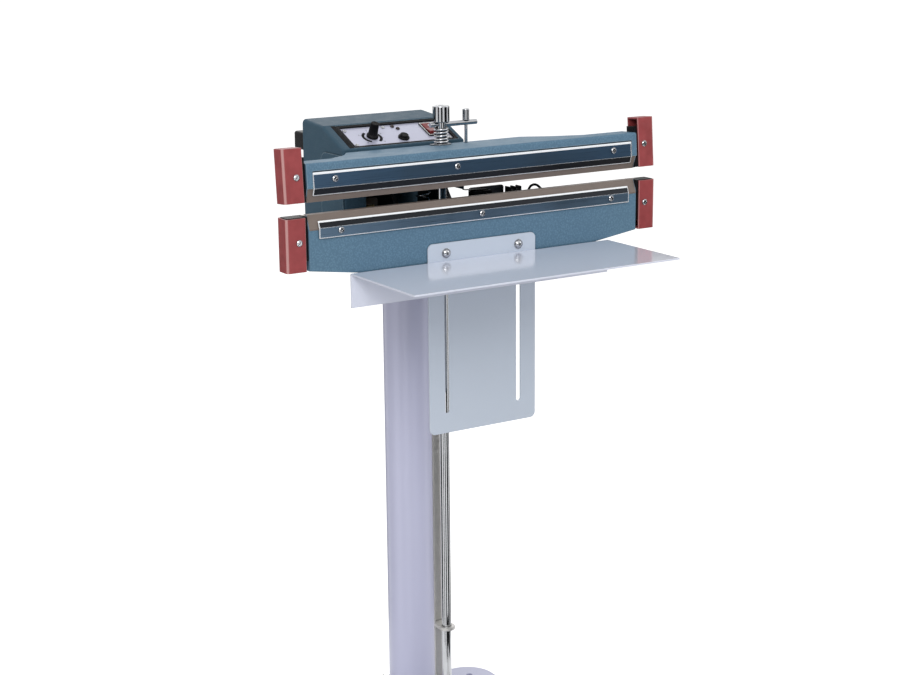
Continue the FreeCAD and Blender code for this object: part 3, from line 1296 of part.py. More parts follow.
    dip = math.tan(math.radians(size.rocker_tilt)) * (hy - 0.8)
    low = face - 6
    crest = face + 2.2
    key = prism("rocker_key", "YZ",
                [outline((-hy + 0.8, low, 1), (0, low - 2, 2), (hy - 0.8, low, 1), (hy - 0.8, crest + dip, 0.6),
                         (0, crest, 4), (-hy + 0.8, crest + dip, 0.6))],
                f"{-hx + 0.3}", f"{2 * hx - 0.6}")
    axle = cylinder("rocker_axle", "1.2", f"{2 * hx + 1.4}", (f"{-hx - 0.7}", "0", "-box_wall - 3"), "x")
    rocker = fuse("rocker_blank", key, axle)
    rocker.Placement = Placement(Vector(rx, ry, 0), Rotation()) * turned_about_x(
        -size.rocker_tilt, Vector(0, 0, face - 3))
    node("power_rocker", rocker, PANEL)

    left, near = PANEL_LEFT + 2, PANEL_LOW + 0.5
    right, far = size.knob_x + 25.5, PANEL_HIGH - 2.5
    card = prism("board_body", "XY", [rectangle(left, near, right, far, 2)],
                 "-box_wall - panel_thick - board_drop", "board_thick")
    posts = [
        cylinder(f"board_post_{index}", "2.5", "board_drop - board_thick",
                 (f"{x}", f"{y}", "-box_wall - panel_thick - board_drop + board_thick"))
        for index, (x, y) in enumerate(((left + 12, near + 8), (left + 12, far - 10), (right - 5, near + 5),
                                        (right - 9, far - 6)))
    ]
    chips = [
        box("board_relay", "16", "12", "10",
            (f"{left + 32}", f"{near + 2}", "-box_wall - panel_thick - board_drop - 10")),
        box("board_chip", "10", "7", "3",
            (f"{left + 8}", f"{near + 18}", "-box_wall - panel_thick - board_drop - 3")),
    ]
    node("timer_board", fuse("board_fused", card, *posts, *chips), PANEL)


def build_transformer():
    """Laminated core and winding on the bracket's plate."""
    right = -size.cheek_inner - size.cheek_thick - 20
    left = right - size.core_width
    front = size.box_front + 16
    back = front + size.core_depth
    low, high = -size.floor_drop, -size.floor_drop + size.core_height
    middle = (left + right) / 2
    limb, out = size.core_limb, size.winding_end
    core = prism("core_body", "XZ",
                 [rectangle(left, low, right, high, 1),
                  rectangle(left + limb - 1, low + limb, middle - limb, high - limb),
                  rectangle(middle + limb, low + limb, right - limb + 1, high - limb)],
                 f"{front + out}", "core_depth - 2 * winding_end")
    feet = box("core_feet", "core_width", "core_depth", "2", (f"{left}", f"{front}", f"{low}"))
    node("transformer_core", fuse("core_fused", core, feet), HEAD)
    gap = size.part_gap
    winding = prism(
        "coil_body", "XY",
        [rectangle(left + limb - 1 + gap, front + 3, right - limb + 1 - gap, back - 3, 9),
         rectangle(middle - limb - gap, front + out - gap, middle + limb + gap, back - out + gap)],
        f"{low + limb + gap}", f"{high - low - 2 * limb - 2 * gap}",
    )
    node("transformer_coil", winding, HEAD)


def build_micro_switch():
    """Snap switch whose lever lies under the switch rod."""
    left, right, top = SWITCH_LEFT, SWITCH_RIGHT, SWITCH_TOP
    low = top - size.switch_height
    body = prism("switch_body", "XZ", [rectangle(left, low, right, top, 1)], "rod_back - 6", "11")
    lever = prism("switch_lever", "XZ",
                  [band([(right - 3, top), (right - 3, top + 1), (size.switch_rod_x - 4, top + 3)], 0, 0.8)],
                  "rod_back - 3", "6")
    prongs = [
        box(f"switch_prong_{index}", "1", "5", "8", (f"{x}", "rod_back - 3", f"{low - 8}"))
        for index, x in enumerate((left + 4, left + 13, right - 5))
    ]
    blank = fuse("switch_blank", body, lever, *prongs)
    drill = holes("switch_drill", SWITCH_SCREWS, size.small_screw + size.fit_gap, 14)
    node("micro_switch", cut("switch_cut", blank, drill), HEAD)


def lead_tube(name, points, bend, radius):
    """A round lead through chosen points, straight between them and bent round each."""
    ends = [Vector(*points[0])]
    pieces = []
    for before, corner, after in zip(points, points[1:], points[2:]):
        corner = Vector(*corner)
        back, ahead = (Vector(*before) - corner).normalize(), (Vector(*after) - corner).normalize()
        half = back.getAngle(ahead) / 2
        leave, join = corner + back * (bend / math.tan(half)), corner + ahead * (bend / math.tan(half))
        inner = corner + (back + ahead).normalize() * (bend / math.sin(half) - bend)
        pieces += [Part.makeLine(ends[-1], leave), Part.Arc(leave, inner, join).toShape()]
        ends.append(join)
    pieces.append(Part.makeLine(ends[-1], Vector(*points[-1])))
    route = Part.Wire(pieces)
    way = route.Edges[0].tangentAt(route.Edges[0].FirstParameter)
    section = Part.Wire(Part.makeCircle(radius, ends[0], way))
    tube = doc.addObject("Part::Feature", name)
    tube.Shape = route.makePipeShell([section], True, True)
    return tube


def build_element_wiring():
    """Terminal block on the post's arm and the lead from it to the lower jaw's right end block."""
    left, right = ARM_RIGHT - size.terminal_width - 1, ARM_RIGHT - 1
    low, valley = ARM_LOW + 4, 4
    top = low + size.terminal_height
    middle, wall = (left + right) / 2, 1
    comb = outline(
        (left, low), (right, low), (right, top, 0.8), (right - 2 * wall, top, 0.8), (right - 2 * wall, top - valley),
        (middle + wall, top - valley), (middle + wall, top, 0.8), (middle - wall, top, 0.8),
        (middle - wall, top - valley), (left + 2 * wall, top - valley), (left + 2 * wall, top, 0.8), (left, top, 0.8),
    )
    block = prism("terminal_body", "XZ", [comb], "rod_back - 6", "11")

    along = size.jaw_depth + size.lead_bend + 2
    end_x = size.jaw_length / 2 + size.cap_gap / 2
    end_y = CAP_FRONT + size.cap_depth - size.cap_wall - size.part_gap
    run = -size.slant_height - 8
    back = size.rod_back
    route = [
        (right, back, low + 5), (right + 8, back, low + 5), (right + 16, back - 8, top + 5),
        (right + 34, back - 20, run), (right + 60, along, run), (end_x, along, run), (end_x, end_y, run),
    ]
    lead = lead_tube("element_lead", route, size.lead_bend, size.lead_radius)
    group = doc.addObject("Part::Compound", "element_wiring_group")
    group.Links = [block, lead]
    node("element_wiring", group, HEAD)


# Slotted plate, work table

PLATE_SCREWS = [((x, -size.plate_thick, -size.plate_screw_drop), (0, -1, 0)) for x in (-size.slot_x, size.slot_x)]
SLOT_TOP = size.table_bolt_drop - size.slot_radius - 0.5
SLOT_LOW = size.table_bolt_drop + size.table_travel + size.slot_radius + size.slot_spare
TABLE_BOLT_Y = -size.plate_thick - size.table_thick
TABLE_BOLTS = [((x, TABLE_BOLT_Y - 0.1, -size.table_bolt_drop), (0, -1, 0)) for x in (-size.slot_x, size.slot_x)]


def build_plate_and_table():
    """The plate screwed to the jaw, and the table that slides up and down on it."""
    half = size.plate_half
    plate = prism(
        "plate_body", "XZ",
        [rectangle(-half, -size.plate_bottom, half, -size.plate_top, 7),
         slot(-size.slot_x, -SLOT_LOW, -SLOT_TOP, size.slot_radius),
         slot(size.slot_x, -SLOT_LOW, -SLOT_TOP, size.slot_radius)],
        "-plate_thick", "plate_thick",
    )
    plate = cut("plate_cut", plate,
                holes("plate_drill", PLATE_SCREWS, size.plate_screw_radius + size.fit_gap, 4))
    node("slotted_plate", plate, HEAD)

    radius = size.plate_screw_radius
    washer = Part.makeCylinder(radius + 3.4, 0.8)
    dome = Part.makeSphere(5.6, Vector(0, 0, -1.6), Vector(0, 0, 1), 0, 90, 360)
    dome = dome.common(Part.makeCylinder(4.6, 6, Vector(0, 0, 0.8)))
    socket = hexagon(1.9, 3, 2.2)
    shank = Part.makeCylinder(radius, 14, Vector(0, 0, -14))
    screw = washer.fuse([dome, shank]).removeSplitter().cut(socket)
    node("plate_screws", spots("plate_screw_pair", screw, PLATE_SCREWS), HEAD)

    gap = 0.1
    back = -size.plate_thick - gap
    top = -size.table_drop
    face, low, under = back - size.table_thick, top - size.table_flange, top - size.table_thick
    profile = outline(
        (back, low), (back, top, 2.5), (-size.table_reach, top), (-size.table_reach, under),
        (face, under, 0.8), (face, low),
    )
    table = prism("table_body", "YZ", [profile], "-table_left", "table_left + table_right")
    bolts = holes("table_drill", TABLE_BOLTS, size.slot_radius - 0.1, 5)
    node("work_table", cut("table_cut", table, bolts), HEAD)

    shank_radius = size.slot_radius - 0.3
    length = size.plate_thick + size.table_thick + 8
    head = hexagon(5.8, 4)
    nut = hexagon(5.8, 5, -size.plate_thick - size.table_thick - 5.4)
    bolt = head.fuse([Part.makeCylinder(shank_radius, length, Vector(0, 0, -length)), nut]).removeSplitter()
    node("table_bolts", spots("table_bolt_pair", bolt, TABLE_BOLTS), HEAD)


# Pedal

PEDAL_EAR_IN = size.lever_x + size.lever_thick / 2 + 6
PEDAL_EAR_OUT = PEDAL_EAR_IN + size.pedal_plate
PEDAL_SWING = math.degrees(math.asin(size.rod_stroke / 2 / (size.pedal_pivot_back - ROD_Y)))
PEDAL = turned_about_x(-PEDAL_SWING, PEDAL_HINGE)


def build_pedal():
    """Bracket and shaft on the base, and the pedal lever, built level and tilted up at rest."""
    back, height = size.pedal_pivot_back, size.pedal_pivot_height
    ear_in, ear_out, ear = PEDAL_EAR_IN, PEDAL_EAR_OUT, size.pedal_ear
    start, end = back - ear - 3, back + ear + 7
    floor, top = BASE_TOP + size.pedal_plate, height + 2 * ear
    channel = prism(
        "pedal_channel", "XZ",
        [outline((-ear_out, BASE_TOP), (ear_out, BASE_TOP), (ear_out, top), (ear_in, top), (ear_in, floor),
                 (-ear_in, floor), (-ear_in, top), (-ear_out, top))],
        f"{start}", f"{end - start}",
    )
    ears = prism(
        "pedal_ears", "YZ",
        [outline((start, BASE_TOP), (back - ear, height + ear, ear * 0.97), (back + ear, height + ear, ear * 0.97),
                 (end, BASE_TOP))],
        f"{-ear_out - 1}", f"{2 * ear_out + 2}",
    )
    shaft_hole = cylinder("pedal_bracket_bore", "pedal_shaft_radius + fit_gap", f"{2 * ear_out + 4}",
                          (f"{-ear_out - 2}", "pedal_pivot_back", "pedal_pivot_height"), "x")
    bracket = cut("pedal_bracket_cut", common("pedal_bracket_blank", channel, ears), shaft_hole,
                  holes("pedal_bracket_drill", PEDAL_BOLTS, size.bolt_radius + size.fit_gap, 8))
    node("pedal_bracket", bracket, FLOOR)
    shaft = grooved_shaft("pedal_shaft_body", size.pedal_shaft_radius, ear_out)
    shaft.Placement.Base = PEDAL_HINGE
    node("pedal_shaft", shaft, FLOOR)

    half = size.lever_height / 2
    front = size.pedal_front
    plate_back = -front + size.pedal_depth
    bar = outline(
        (back + 12, height + half - 2, 9), (back + 12, height - half + 2, 9), (ROD_Y, height - half, 30),
        (plate_back - 20, height - 7, 8), (plate_back - 20, height + 4), (plate_back, height + 4),
        (ROD_Y, height + half, 30),
    )
    bars = [
        prism("left_bar", "YZ", [bar], "-lever_x - lever_thick / 2", "lever_thick"),
        prism("right_bar", "YZ", [bar], "lever_x - lever_thick / 2", "lever_thick"),
    ]
    sleeve = cylinder("pedal_sleeve", "pedal_shaft_radius + 4", f"{2 * ear_in - 1}",
                      (f"{-ear_in + 0.5}", "pedal_pivot_back", "pedal_pivot_height"), "x")
    foot_plate = prism(
        "pedal_plate", "XY",
        [rectangle(-size.pedal_width / 2, -front, size.pedal_width / 2, plate_back, 14)],
        "pedal_pivot_height + 4", "4",
    )
    skirt = prism(
        "pedal_skirt", "YZ",
        [outline((-front + 2, height - 4, 3), (-front + 2, height + 5),
                 (-front + 5, height + 5), (-front + 5, height - 4))],
        "-pedal_width / 2 + 14", "pedal_width - 28",
    )
    tie = prism("pedal_tie", "XZ", [rectangle(-size.lever_x, height - 6, size.lever_x, height + 6, 2)],
                f"{ROD_Y - 90}", "6")
    bore = cylinder("pedal_bore", "pedal_shaft_radius + fit_gap", f"{2 * ear_out + 4}",
                    (f"{-ear_out - 2}", "pedal_pivot_back", "pedal_pivot_height"), "x")
    pin = size.trunnion_pin
    eye = prism("pedal_eye", "YZ",
                [outline((ROD_Y - pin - 1.2, height - pin - 0.3, pin), (ROD_Y + pin + 1.2, height - pin - 0.3, pin),
                         (ROD_Y + pin + 1.2, height + pin + 0.3, pin), (ROD_Y - pin - 1.2, height + pin + 0.3, pin))],
                "-lever_x - lever_thick", "2 * lever_x + 2 * lever_thick")
    lever = cut("pedal_lever_cut", fuse("pedal_lever_blank", *bars, sleeve, foot_plate, skirt, tie), bore, eye)
    node("pedal_lever", lever, PEDAL)

    low = height + 8
    mat = prism("pad_body", "XY",
                [rectangle(-size.pedal_width / 2 + 3, -front + 3, size.pedal_width / 2 - 3, plate_back - 3, 12)],
                f"{low}", "4")
    ridges = [
        box(f"pad_ridge_{index}", "pedal_width - 24", "4", "2.4",
            ("-pedal_width / 2 + 12", f"{-front + 12 + 8.6 * index}", f"{low + 3.8}"))
        for index in range(8)
    ]
    node("pedal_pad", fuse("pad_fused", mat, *ridges), PEDAL)


def build_guide_strip():
    """Flat bar behind the pull rod, with feet at both ends and an eye round the rod."""
    y = GUIDE_Y
    low, high = BASE_TOP, FLOOR_Z - size.floor_thick
    half, thick = size.guide_width / 2, size.guide_thick
    heel = y + size.guide_foot - size.part_gap
    side = outline(
        (y, low), (heel, low), (heel, low + thick), (y + thick, low + thick, 0.6), (y + thick, high - thick, 0.6),
        (heel, high - thick), (heel, high), (y, high),
    )
    bar = prism("guide_bar", "YZ", [side], "-guide_width / 2", "guide_width")
    eye = prism(
        "guide_eye", "XY",
        [outline((-half - 5, ROD_Y - 11, 9), (half + 5, ROD_Y - 11, 9), (half + 5, y - 6, 4), (half, y, 1),
                 (half, y + 1), (-half, y + 1), (-half, y, 1), (-half - 5, y - 6, 4))],
        "guide_eye_height", "4",
    )
    rod_hole = cylinder("guide_eye_hole", "rod_radius + fit_gap", "10",
                        ("0", "rod_back - reach", "guide_eye_height - 2"))
    screws = GUIDE_FOOT + [((0, GUIDE_SCREW_Y, high), (0, 0, 1))]
    strip = cut("guide_cut", fuse("guide_blank", bar, eye), rod_hole,
                holes("guide_strip_drill", screws, size.screw_radius + size.fit_gap, 6))
    node("guide_strip", strip, FLOOR)


def export():
    """Checks every object, then writes one file per node."""
    doc.recompute()
    for item in doc.Objects:
        if {"Invalid", "Error"} & set(item.State):
            raise RuntimeError(f"{item.Name} failed: {item.State}")
    labels = set()
    for item in NODES:
        shape = item.Shape
        if shape.isNull() or not shape.isValid() or not shape.Solids:
            raise RuntimeError(f"{item.Label} has no valid solid")
        if item.Label in labels:
            raise RuntimeError(f"{item.Label} is used twice")
        labels.add(item.Label)
    os.makedirs("parts", exist_ok=True)
    for item in NODES:
        item.Shape.exportStep(f"parts/{item.Label}.step")
        print(f"{item.Label}: {len(item.Shape.Solids)} solids, {item.Shape.Volume / 1000:.2f} cm3")
    print(len(NODES), "nodes")


build_stand()
build_frame_bolts()
build_head_bracket()
build_hinge()
build_lower_jaw()
build_jaw_dressing(-1, HEAD, "lower", size.strip_end_low)
build_upper_jaw()
build_jaw_dressing(1, ARM, "upper", size.strip_end_up)
build_rod_parts()
build_lift_spring()
build_housing()
build_panel()
build_transformer()
build_micro_switch()
build_element_wiring()
build_plate_and_table()
build_pedal()
build_guide_strip()
export()
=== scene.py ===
import json
import math

import bmesh
import bpy
from bpy.props import FloatProperty, FloatVectorProperty, IntProperty, PointerProperty
from mathutils import Matrix, Vector


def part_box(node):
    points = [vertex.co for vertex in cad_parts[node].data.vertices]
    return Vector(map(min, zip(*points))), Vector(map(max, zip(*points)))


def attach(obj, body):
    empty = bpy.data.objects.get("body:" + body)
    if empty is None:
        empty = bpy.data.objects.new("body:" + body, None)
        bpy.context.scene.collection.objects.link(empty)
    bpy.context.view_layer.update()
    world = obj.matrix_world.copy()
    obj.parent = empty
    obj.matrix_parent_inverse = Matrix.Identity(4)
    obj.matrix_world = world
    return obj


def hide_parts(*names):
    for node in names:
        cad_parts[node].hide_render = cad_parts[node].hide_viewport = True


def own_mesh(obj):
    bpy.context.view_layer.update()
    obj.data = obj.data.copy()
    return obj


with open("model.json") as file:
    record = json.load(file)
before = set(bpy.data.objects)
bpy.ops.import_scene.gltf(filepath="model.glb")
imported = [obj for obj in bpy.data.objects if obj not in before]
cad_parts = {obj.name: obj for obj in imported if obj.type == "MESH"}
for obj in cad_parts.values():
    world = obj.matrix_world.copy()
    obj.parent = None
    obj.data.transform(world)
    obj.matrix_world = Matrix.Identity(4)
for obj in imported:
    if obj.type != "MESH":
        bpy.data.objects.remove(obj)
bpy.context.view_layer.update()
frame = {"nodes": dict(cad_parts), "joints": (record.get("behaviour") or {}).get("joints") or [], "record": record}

bl_info = {
    "name": "Foot Pedal Sealer",
    "version": (1, 0, 0),
    "blender": (4, 5, 0),
    "location": "View3D > Sidebar > Sealer",
    "description": "Finishes a foot pedal bag sealer: paints, metals, tape, springs, welds, threads and print",
    "category": "Add Mesh",
}

# Metres, in the machine's own frame: Z up from the floor, -Y towards the operator.

JOINTS = {joint["name"]: joint for joint in frame["joints"]}
UP = Vector((0, 0, 1))
RIGHT = Vector((1, 0, 0))
TURN = 2 * math.pi


def colour(name, about, red, green, blue):
    """A colour setting."""
    return FloatVectorProperty(name=name, description=about, subtype="COLOR", size=3, min=0, max=1,
                               default=(red, green, blue))


def length(name, about, metres):
    """A length setting."""
    return FloatProperty(name=name, description=about, subtype="DISTANCE", unit="LENGTH", precision=5,
                         default=metres)


def angle(name, about, degrees):
    """An angle setting."""
    return FloatProperty(name=name, description=about, subtype="ANGLE", unit="ROTATION",
                         default=math.radians(degrees))


def number(name, about, default, subtype="NONE"):
    """A plain number setting."""
    return FloatProperty(name=name, description=about, subtype=subtype, default=default)


class SealerColours(bpy.types.PropertyGroup):
    """Colours of the paints, plastics and metals, and of the light and shade painted on some of them."""

    casting: colour("Casting", "Hammertone paint on the jaws", 0.13, 0.235, 0.33)
    casting_deep: colour("Casting Deep", "Hammertone paint between its marks", 0.098, 0.182, 0.262)
    casting_edge: colour("Casting Edge", "Paint worn pale on the castings' edges", 0.5, 0.6, 0.66)
    housing: colour("Housing", "Paint on the control housing", 0.055, 0.102, 0.142)
    housing_deep: colour("Housing Deep", "Housing paint between its marks", 0.043, 0.083, 0.118)
    stand: colour("Stand", "Gloss paint on column and base", 0.54, 0.55, 0.71)
    plate: colour("Plate", "Stand paint made greyer as painted shade on the slotted plate", 0.53, 0.59, 0.68)
    table: colour("Table", "Stand paint made paler as painted light on the work table", 0.74, 0.77, 0.88)
    black: colour("Black Paint", "Satin paint on bracket and pedal", 0.02, 0.02, 0.022)
    panel: colour("Panel", "Metallic paint on the control panel", 0.52, 0.53, 0.66)
    strip: colour("Clamp Strip", "Dark steel of the clamp strips", 0.12, 0.19, 0.27)
    strip_upper: colour("Upper Clamp Strip Reflection", "Painted darker blue reflection on the upper clamp strip", 0.05, 0.1, 0.17)
    strip_edge: colour("Clamp Strip Highlight", "Painted highlight on the bends and edges of the clamp strips", 0.9, 0.93, 0.96)
    tape: colour("Tape", "Coated woven tape over the jaws", 0.2, 0.155, 0.13)
    cap: colour("End Cap", "Brick-red mouldings", 0.26, 0.043, 0.046)
    cap_edge: colour("End Cap Edge And Highlight", "Worn edges of the mouldings and the painted highlight on their upright corners", 0.55, 0.32, 0.31)
    chrome: colour("Chrome", "Bright plating", 0.5, 0.51, 0.53)
    zinc: colour("Zinc", "Plated bolts, nuts and shafts", 0.34, 0.35, 0.37)
    bronze: colour("Bronze", "Bushes", 0.5, 0.3, 0.12)
    rocker: colour("Rocker", "Mains rocker", 0.16, 0.012, 0.014)


class SealerSizes(bpy.types.PropertyGroup):
    """Sizes of the fine pieces."""

    wire_radius: length("Spring Wire", "Radius of the springs' wire", 0.00125)
    hammer_size: length("Hammer Marks", "Width of the marks in the castings' paint", 0.0021)
    weld_radius: length("Weld", "Radius of the weld beads", 0.0026)
    cheek_outside: length("Hinge Cheek", "Middle plane to the outside of a hinge cheek", 0.042)
    thread_pitch: length("Thread Pitch", "Pitch of the pull rod's thread", 0.0015)
    print_thickness: length("Print", "Thickness of the ink on the panel", 0.00006)
    weave: length("Tape Thread", "Width of one thread of the tape", 0.0007)
    dial_numbers: IntProperty(name="Dial Numbers", description="Highest number on the timer's scale", default=8)
    scale_radius: length("Scale Radius", "Radius of the bold arcs round the timer knob", 0.0116)
    outline_share: number("Outline Share", "Height of the switch's outline to its frame's", 0.8)
    lip_width: length("Strip Lip Highlight", "Width of the painted highlight along the top of the upper clamp strip", 0.0026)
    border_width: length("Panel Border Shade", "Black sheet to the left of the control panel, as painted shade", 0.006)
    table_bolt_radius: length("Table Bolt", "Radius of the table bolts' shanks", 0.0029)
    table_bolt_head: length("Table Bolt Head", "Half width of the table bolts' heads", 0.0058)


class SealerStage(bpy.types.PropertyGroup):
    """Camera and light."""

    camera_azimuth: angle("Azimuth", "Where the camera stands, round from the front", -31.86)
    camera_elevation: angle("Elevation", "Height of the camera above the horizon", 13.77)
    camera_roll: angle("Roll", "Tilt of the picture", -0.57)
    camera_place: FloatVectorProperty(name="Camera Place", description="Where the camera stands",
                                      subtype="TRANSLATION", unit="LENGTH", size=3,
                                      default=(-1.1541, -1.9627, 1.1273))
    camera_lens: number("Lens", "Focal length", 71.76, "DISTANCE_CAMERA")
    world_level: number("World Light", "Strength of the light from all round", 0.62)
    key_power: number("Key Light", "Power of the main lamp", 58, "POWER")
    fill_power: number("Fill Light", "Power of the lamps on the right and behind", 14, "POWER")
    floor_grey: number("Floor", "How pale the floor is", 0.72)
    floor_glow: number("Floor Glow", "What the camera sees on top of the floor's own shade", 0.6)
    card_width: angle("Dark Cards", "Width of the dark cards that bright metal reflects, seen from the machine", 46)


# Node trees

class Nodes:
    """A node tree with short ways to add nodes and join them."""

    def __init__(self, tree):
        self.tree = tree

    def put(self, value, socket):
        """Joins a socket to another, or sets it."""
        if isinstance(value, bpy.types.NodeSocket):
            self.tree.links.new(value, socket)
        else:
            socket.default_value = value

    def add(self, kind, values=None, **settings):
        """A shader node, with its settings and what goes into its sockets."""
        node = self.tree.nodes.new("ShaderNode" + kind)
        for name, setting in settings.items():
            setattr(node, name, setting)
        for socket, value in (values or {}).items():
            self.put(value, node.inputs[socket])
        return node

    def feed(self, shader, **values):
        """Joins or sets sockets of a shader by their names."""
        for name, value in values.items():
            self.put(value, shader.inputs[name.replace("_", " ")])

    def sum(self, operation, first, second):
        """One sum of two values."""
        return self.add("Math", {0: first, 1: second}, operation=operation).outputs[0]

    def change(self, operation, value):
        """One value changed, as into its sine."""
        return self.add("Math", {0: value}, operation=operation).outputs[0]

    def vector_sum(self, operation, first, second):
        """One sum of two vectors."""
        return self.add("VectorMath", {0: first, 1: second}, operation=operation).outputs[0]

    def parts(self, vector):
        """The three parts of a vector."""
        return self.add("SeparateXYZ", {0: vector}).outputs

    def blend(self, factor, first, second):
        """A colour between two."""
        return self.add("Mix", {0: factor, 6: first, 7: second}, data_type="RGBA").outputs[2]

    def spread(self, value, low, high, to_low=0.0, to_high=1.0):
        """A value stretched from one range to another, and kept inside it."""
        return self.add("MapRange", {0: value, 1: low, 2: high, 3: to_low, 4: to_high}).outputs[0]

    def place(self):
        """Coordinates on the object itself."""
        return self.add("TexCoord").outputs["Object"]

    def true_normal(self):
        """The way each face looks, without its shading."""
        return self.add("NewGeometry").outputs["True Normal"]

    def noise(self, scale, detail=2.0, rough=0.5, place=None):
        """Noise between 0 and 1."""
        values = {"Vector": place or self.place(), "Scale": scale, "Detail": detail, "Roughness": rough}
        return self.add("TexNoise", values).outputs[0]

    def bump(self, height, distance, normal=None, strength=1.0):
        """A normal from a height."""
        values = {"Height": height, "Distance": distance, "Strength": strength}
        if normal:
            values["Normal"] = normal
        return self.add("Bump", values).outputs[0]

    def effect(self, group, **values):
        """A node group placed with its own values."""
        node = self.add("Group", node_tree=group())
        for name, value in values.items():
            self.put(value, node.inputs[name])
        return node.outputs


def group_of(name, inputs, outputs, fill):
    """A shader node group, built once: fill(nodes, what goes in) gives what comes out."""
    def fetch():
        tree = bpy.data.node_groups.get(name)
        if tree:
            return tree
        tree = bpy.data.node_groups.new(name, "ShaderNodeTree")
        for label, default in inputs.items():
            socket = tree.interface.new_socket(name=label, in_out="INPUT", socket_type="NodeSocketFloat")
            socket.default_value = default
        for label, kind in outputs.items():
            tree.interface.new_socket(name=label, in_out="OUTPUT", socket_type="NodeSocket" + kind)
        entry = tree.nodes.new("NodeGroupInput")
        leave = tree.nodes.new("NodeGroupOutput")
        nodes = Nodes(tree)
        for label, value in fill(nodes, entry.outputs).items():
            tree.links.new(value, leave.inputs[label])
        return tree
    return fetch


def fill_hammer(nodes, given):
    """Shallow round dents that run into each other, as in hammertone paint."""
    per_metre = nodes.sum("DIVIDE", 1.0, given["Size"])
    wander = nodes.add("TexNoise", {"Vector": nodes.place(), "Scale": per_metre, "Detail": 1.0}).outputs[1]
    shift = nodes.vector_sum("SUBTRACT", wander, (0.5, 0.5, 0.5))
    shift = nodes.add("VectorMath", {0: shift, "Scale": given["Size"]}, operation="SCALE").outputs[0]
    place = nodes.vector_sum("ADD", nodes.place(), shift)
    cells = nodes.add("TexVoronoi", {"Vector": place, "Scale": per_metre, "Smoothness": 0.7}, feature="SMOOTH_F1")
    dome = nodes.spread(cells.outputs["Distance"], 0.1, 0.62, 1.0, 0.0)
    clouds = nodes.noise(nodes.sum("MULTIPLY", per_metre, 0.11), 2.0)
    return {"Height": dome, "Tone": clouds}


def fill_edges(nodes, given):
    """Rounded edges, and a mask of where they are worn."""
    soft = nodes.add("Bevel", {"Radius": given["Width"]}, samples=8).outputs[0]
    sharp = nodes.add("NewGeometry").outputs["Normal"]
    apart = nodes.add("VectorMath", {0: soft, 1: sharp}, operation="DOT_PRODUCT").outputs["Value"]
    mask = nodes.spread(apart, 0.998, 0.9)
    patches = nodes.spread(nodes.noise(120.0, 3.0), 0.25, 0.6)
    worn = nodes.sum("MULTIPLY", mask, nodes.sum("MAXIMUM", patches, given["Evenness"]))
    return {"Mask": worn, "Normal": soft}


def fill_brush(nodes, given):
    """Fine streaks along X."""
    across = nodes.sum("DIVIDE", 1.0, given["Width"])
    along = nodes.sum("DIVIDE", 1.0, given["Length"])
    scale = nodes.add("CombineXYZ", {0: along, 1: across, 2: across}).outputs[0]
    place = nodes.vector_sum("MULTIPLY", nodes.place(), scale)
    return {"Height": nodes.noise(1.0, 3.0, 0.6, place)}


def fill_weave(nodes, given):
    """A plain weave across X and along the way the tape is wrapped."""
    across, forward, upward = nodes.parts(nodes.place())
    wrapped = nodes.sum("ADD", forward, upward)
    turns = nodes.sum("DIVIDE", math.pi, given["Thread"])
    warp = nodes.change("SINE", nodes.sum("MULTIPLY", across, turns))
    weft = nodes.change("SINE", nodes.sum("MULTIPLY", wrapped, turns))
    return {"Height": nodes.spread(nodes.sum("MULTIPLY", warp, weft), -1.0, 1.0)}


def fill_dust(nodes, given):
    """A faint veil on what faces up."""
    upward = nodes.parts(nodes.add("NewGeometry").outputs["Normal"])[2]
    lying = nodes.spread(upward, 0.3, 1.0)
    specks = nodes.spread(nodes.noise(260.0, 4.0, 0.7), 0.42, 0.75)
    return {"Mask": nodes.sum("MULTIPLY", nodes.sum("MULTIPLY", lying, specks), given["Amount"])}


def fill_turned(nodes, given):
    """Painted highlight on rounded upright corners: where the surface turns from X to Y."""
    parts = nodes.parts(nodes.true_normal())
    both = nodes.change("ABSOLUTE", nodes.sum("MULTIPLY", parts[0], parts[1]))
    return {"Mask": nodes.sum("MULTIPLY", nodes.spread(both, 0.22, 0.46), given["Amount"])}


def fill_corners(nodes, given):
    """Painted shade, with the dirt that gathers there: darker where pieces meet and the surface is closed in."""
    open_sky = nodes.add("AmbientOcclusion", {"Distance": given["Reach"]}, samples=8).outputs["AO"]
    return {"Mask": nodes.sum("MULTIPLY", nodes.spread(open_sky, 0.85, 0.35), given["Amount"])}


hammer_marks = group_of("Hammer Marks", {"Size": 0.0034}, {"Height": "Float", "Tone": "Float"}, fill_hammer)
edge_wear = group_of("Edge Wear", {"Width": 0.0006, "Evenness": 0.5}, {"Mask": "Float", "Normal": "Vector"},
                     fill_edges)
brushing = group_of("Brushing", {"Length": 0.05, "Width": 0.0004}, {"Height": "Float"}, fill_brush)
tape_weave = group_of("Tape Weave", {"Thread": 0.0007}, {"Height": "Float"}, fill_weave)
dust = group_of("Dust", {"Amount": 0.2}, {"Mask": "Float"}, fill_dust)
upright_highlight = group_of("Upright Corner Highlight", {"Amount": 0.5}, {"Mask": "Float"}, fill_turned)
corners = group_of("Corners", {"Reach": 0.004, "Amount": 0.7}, {"Mask": "Float"}, fill_corners)


# Finishes: one function for each material slot of the record

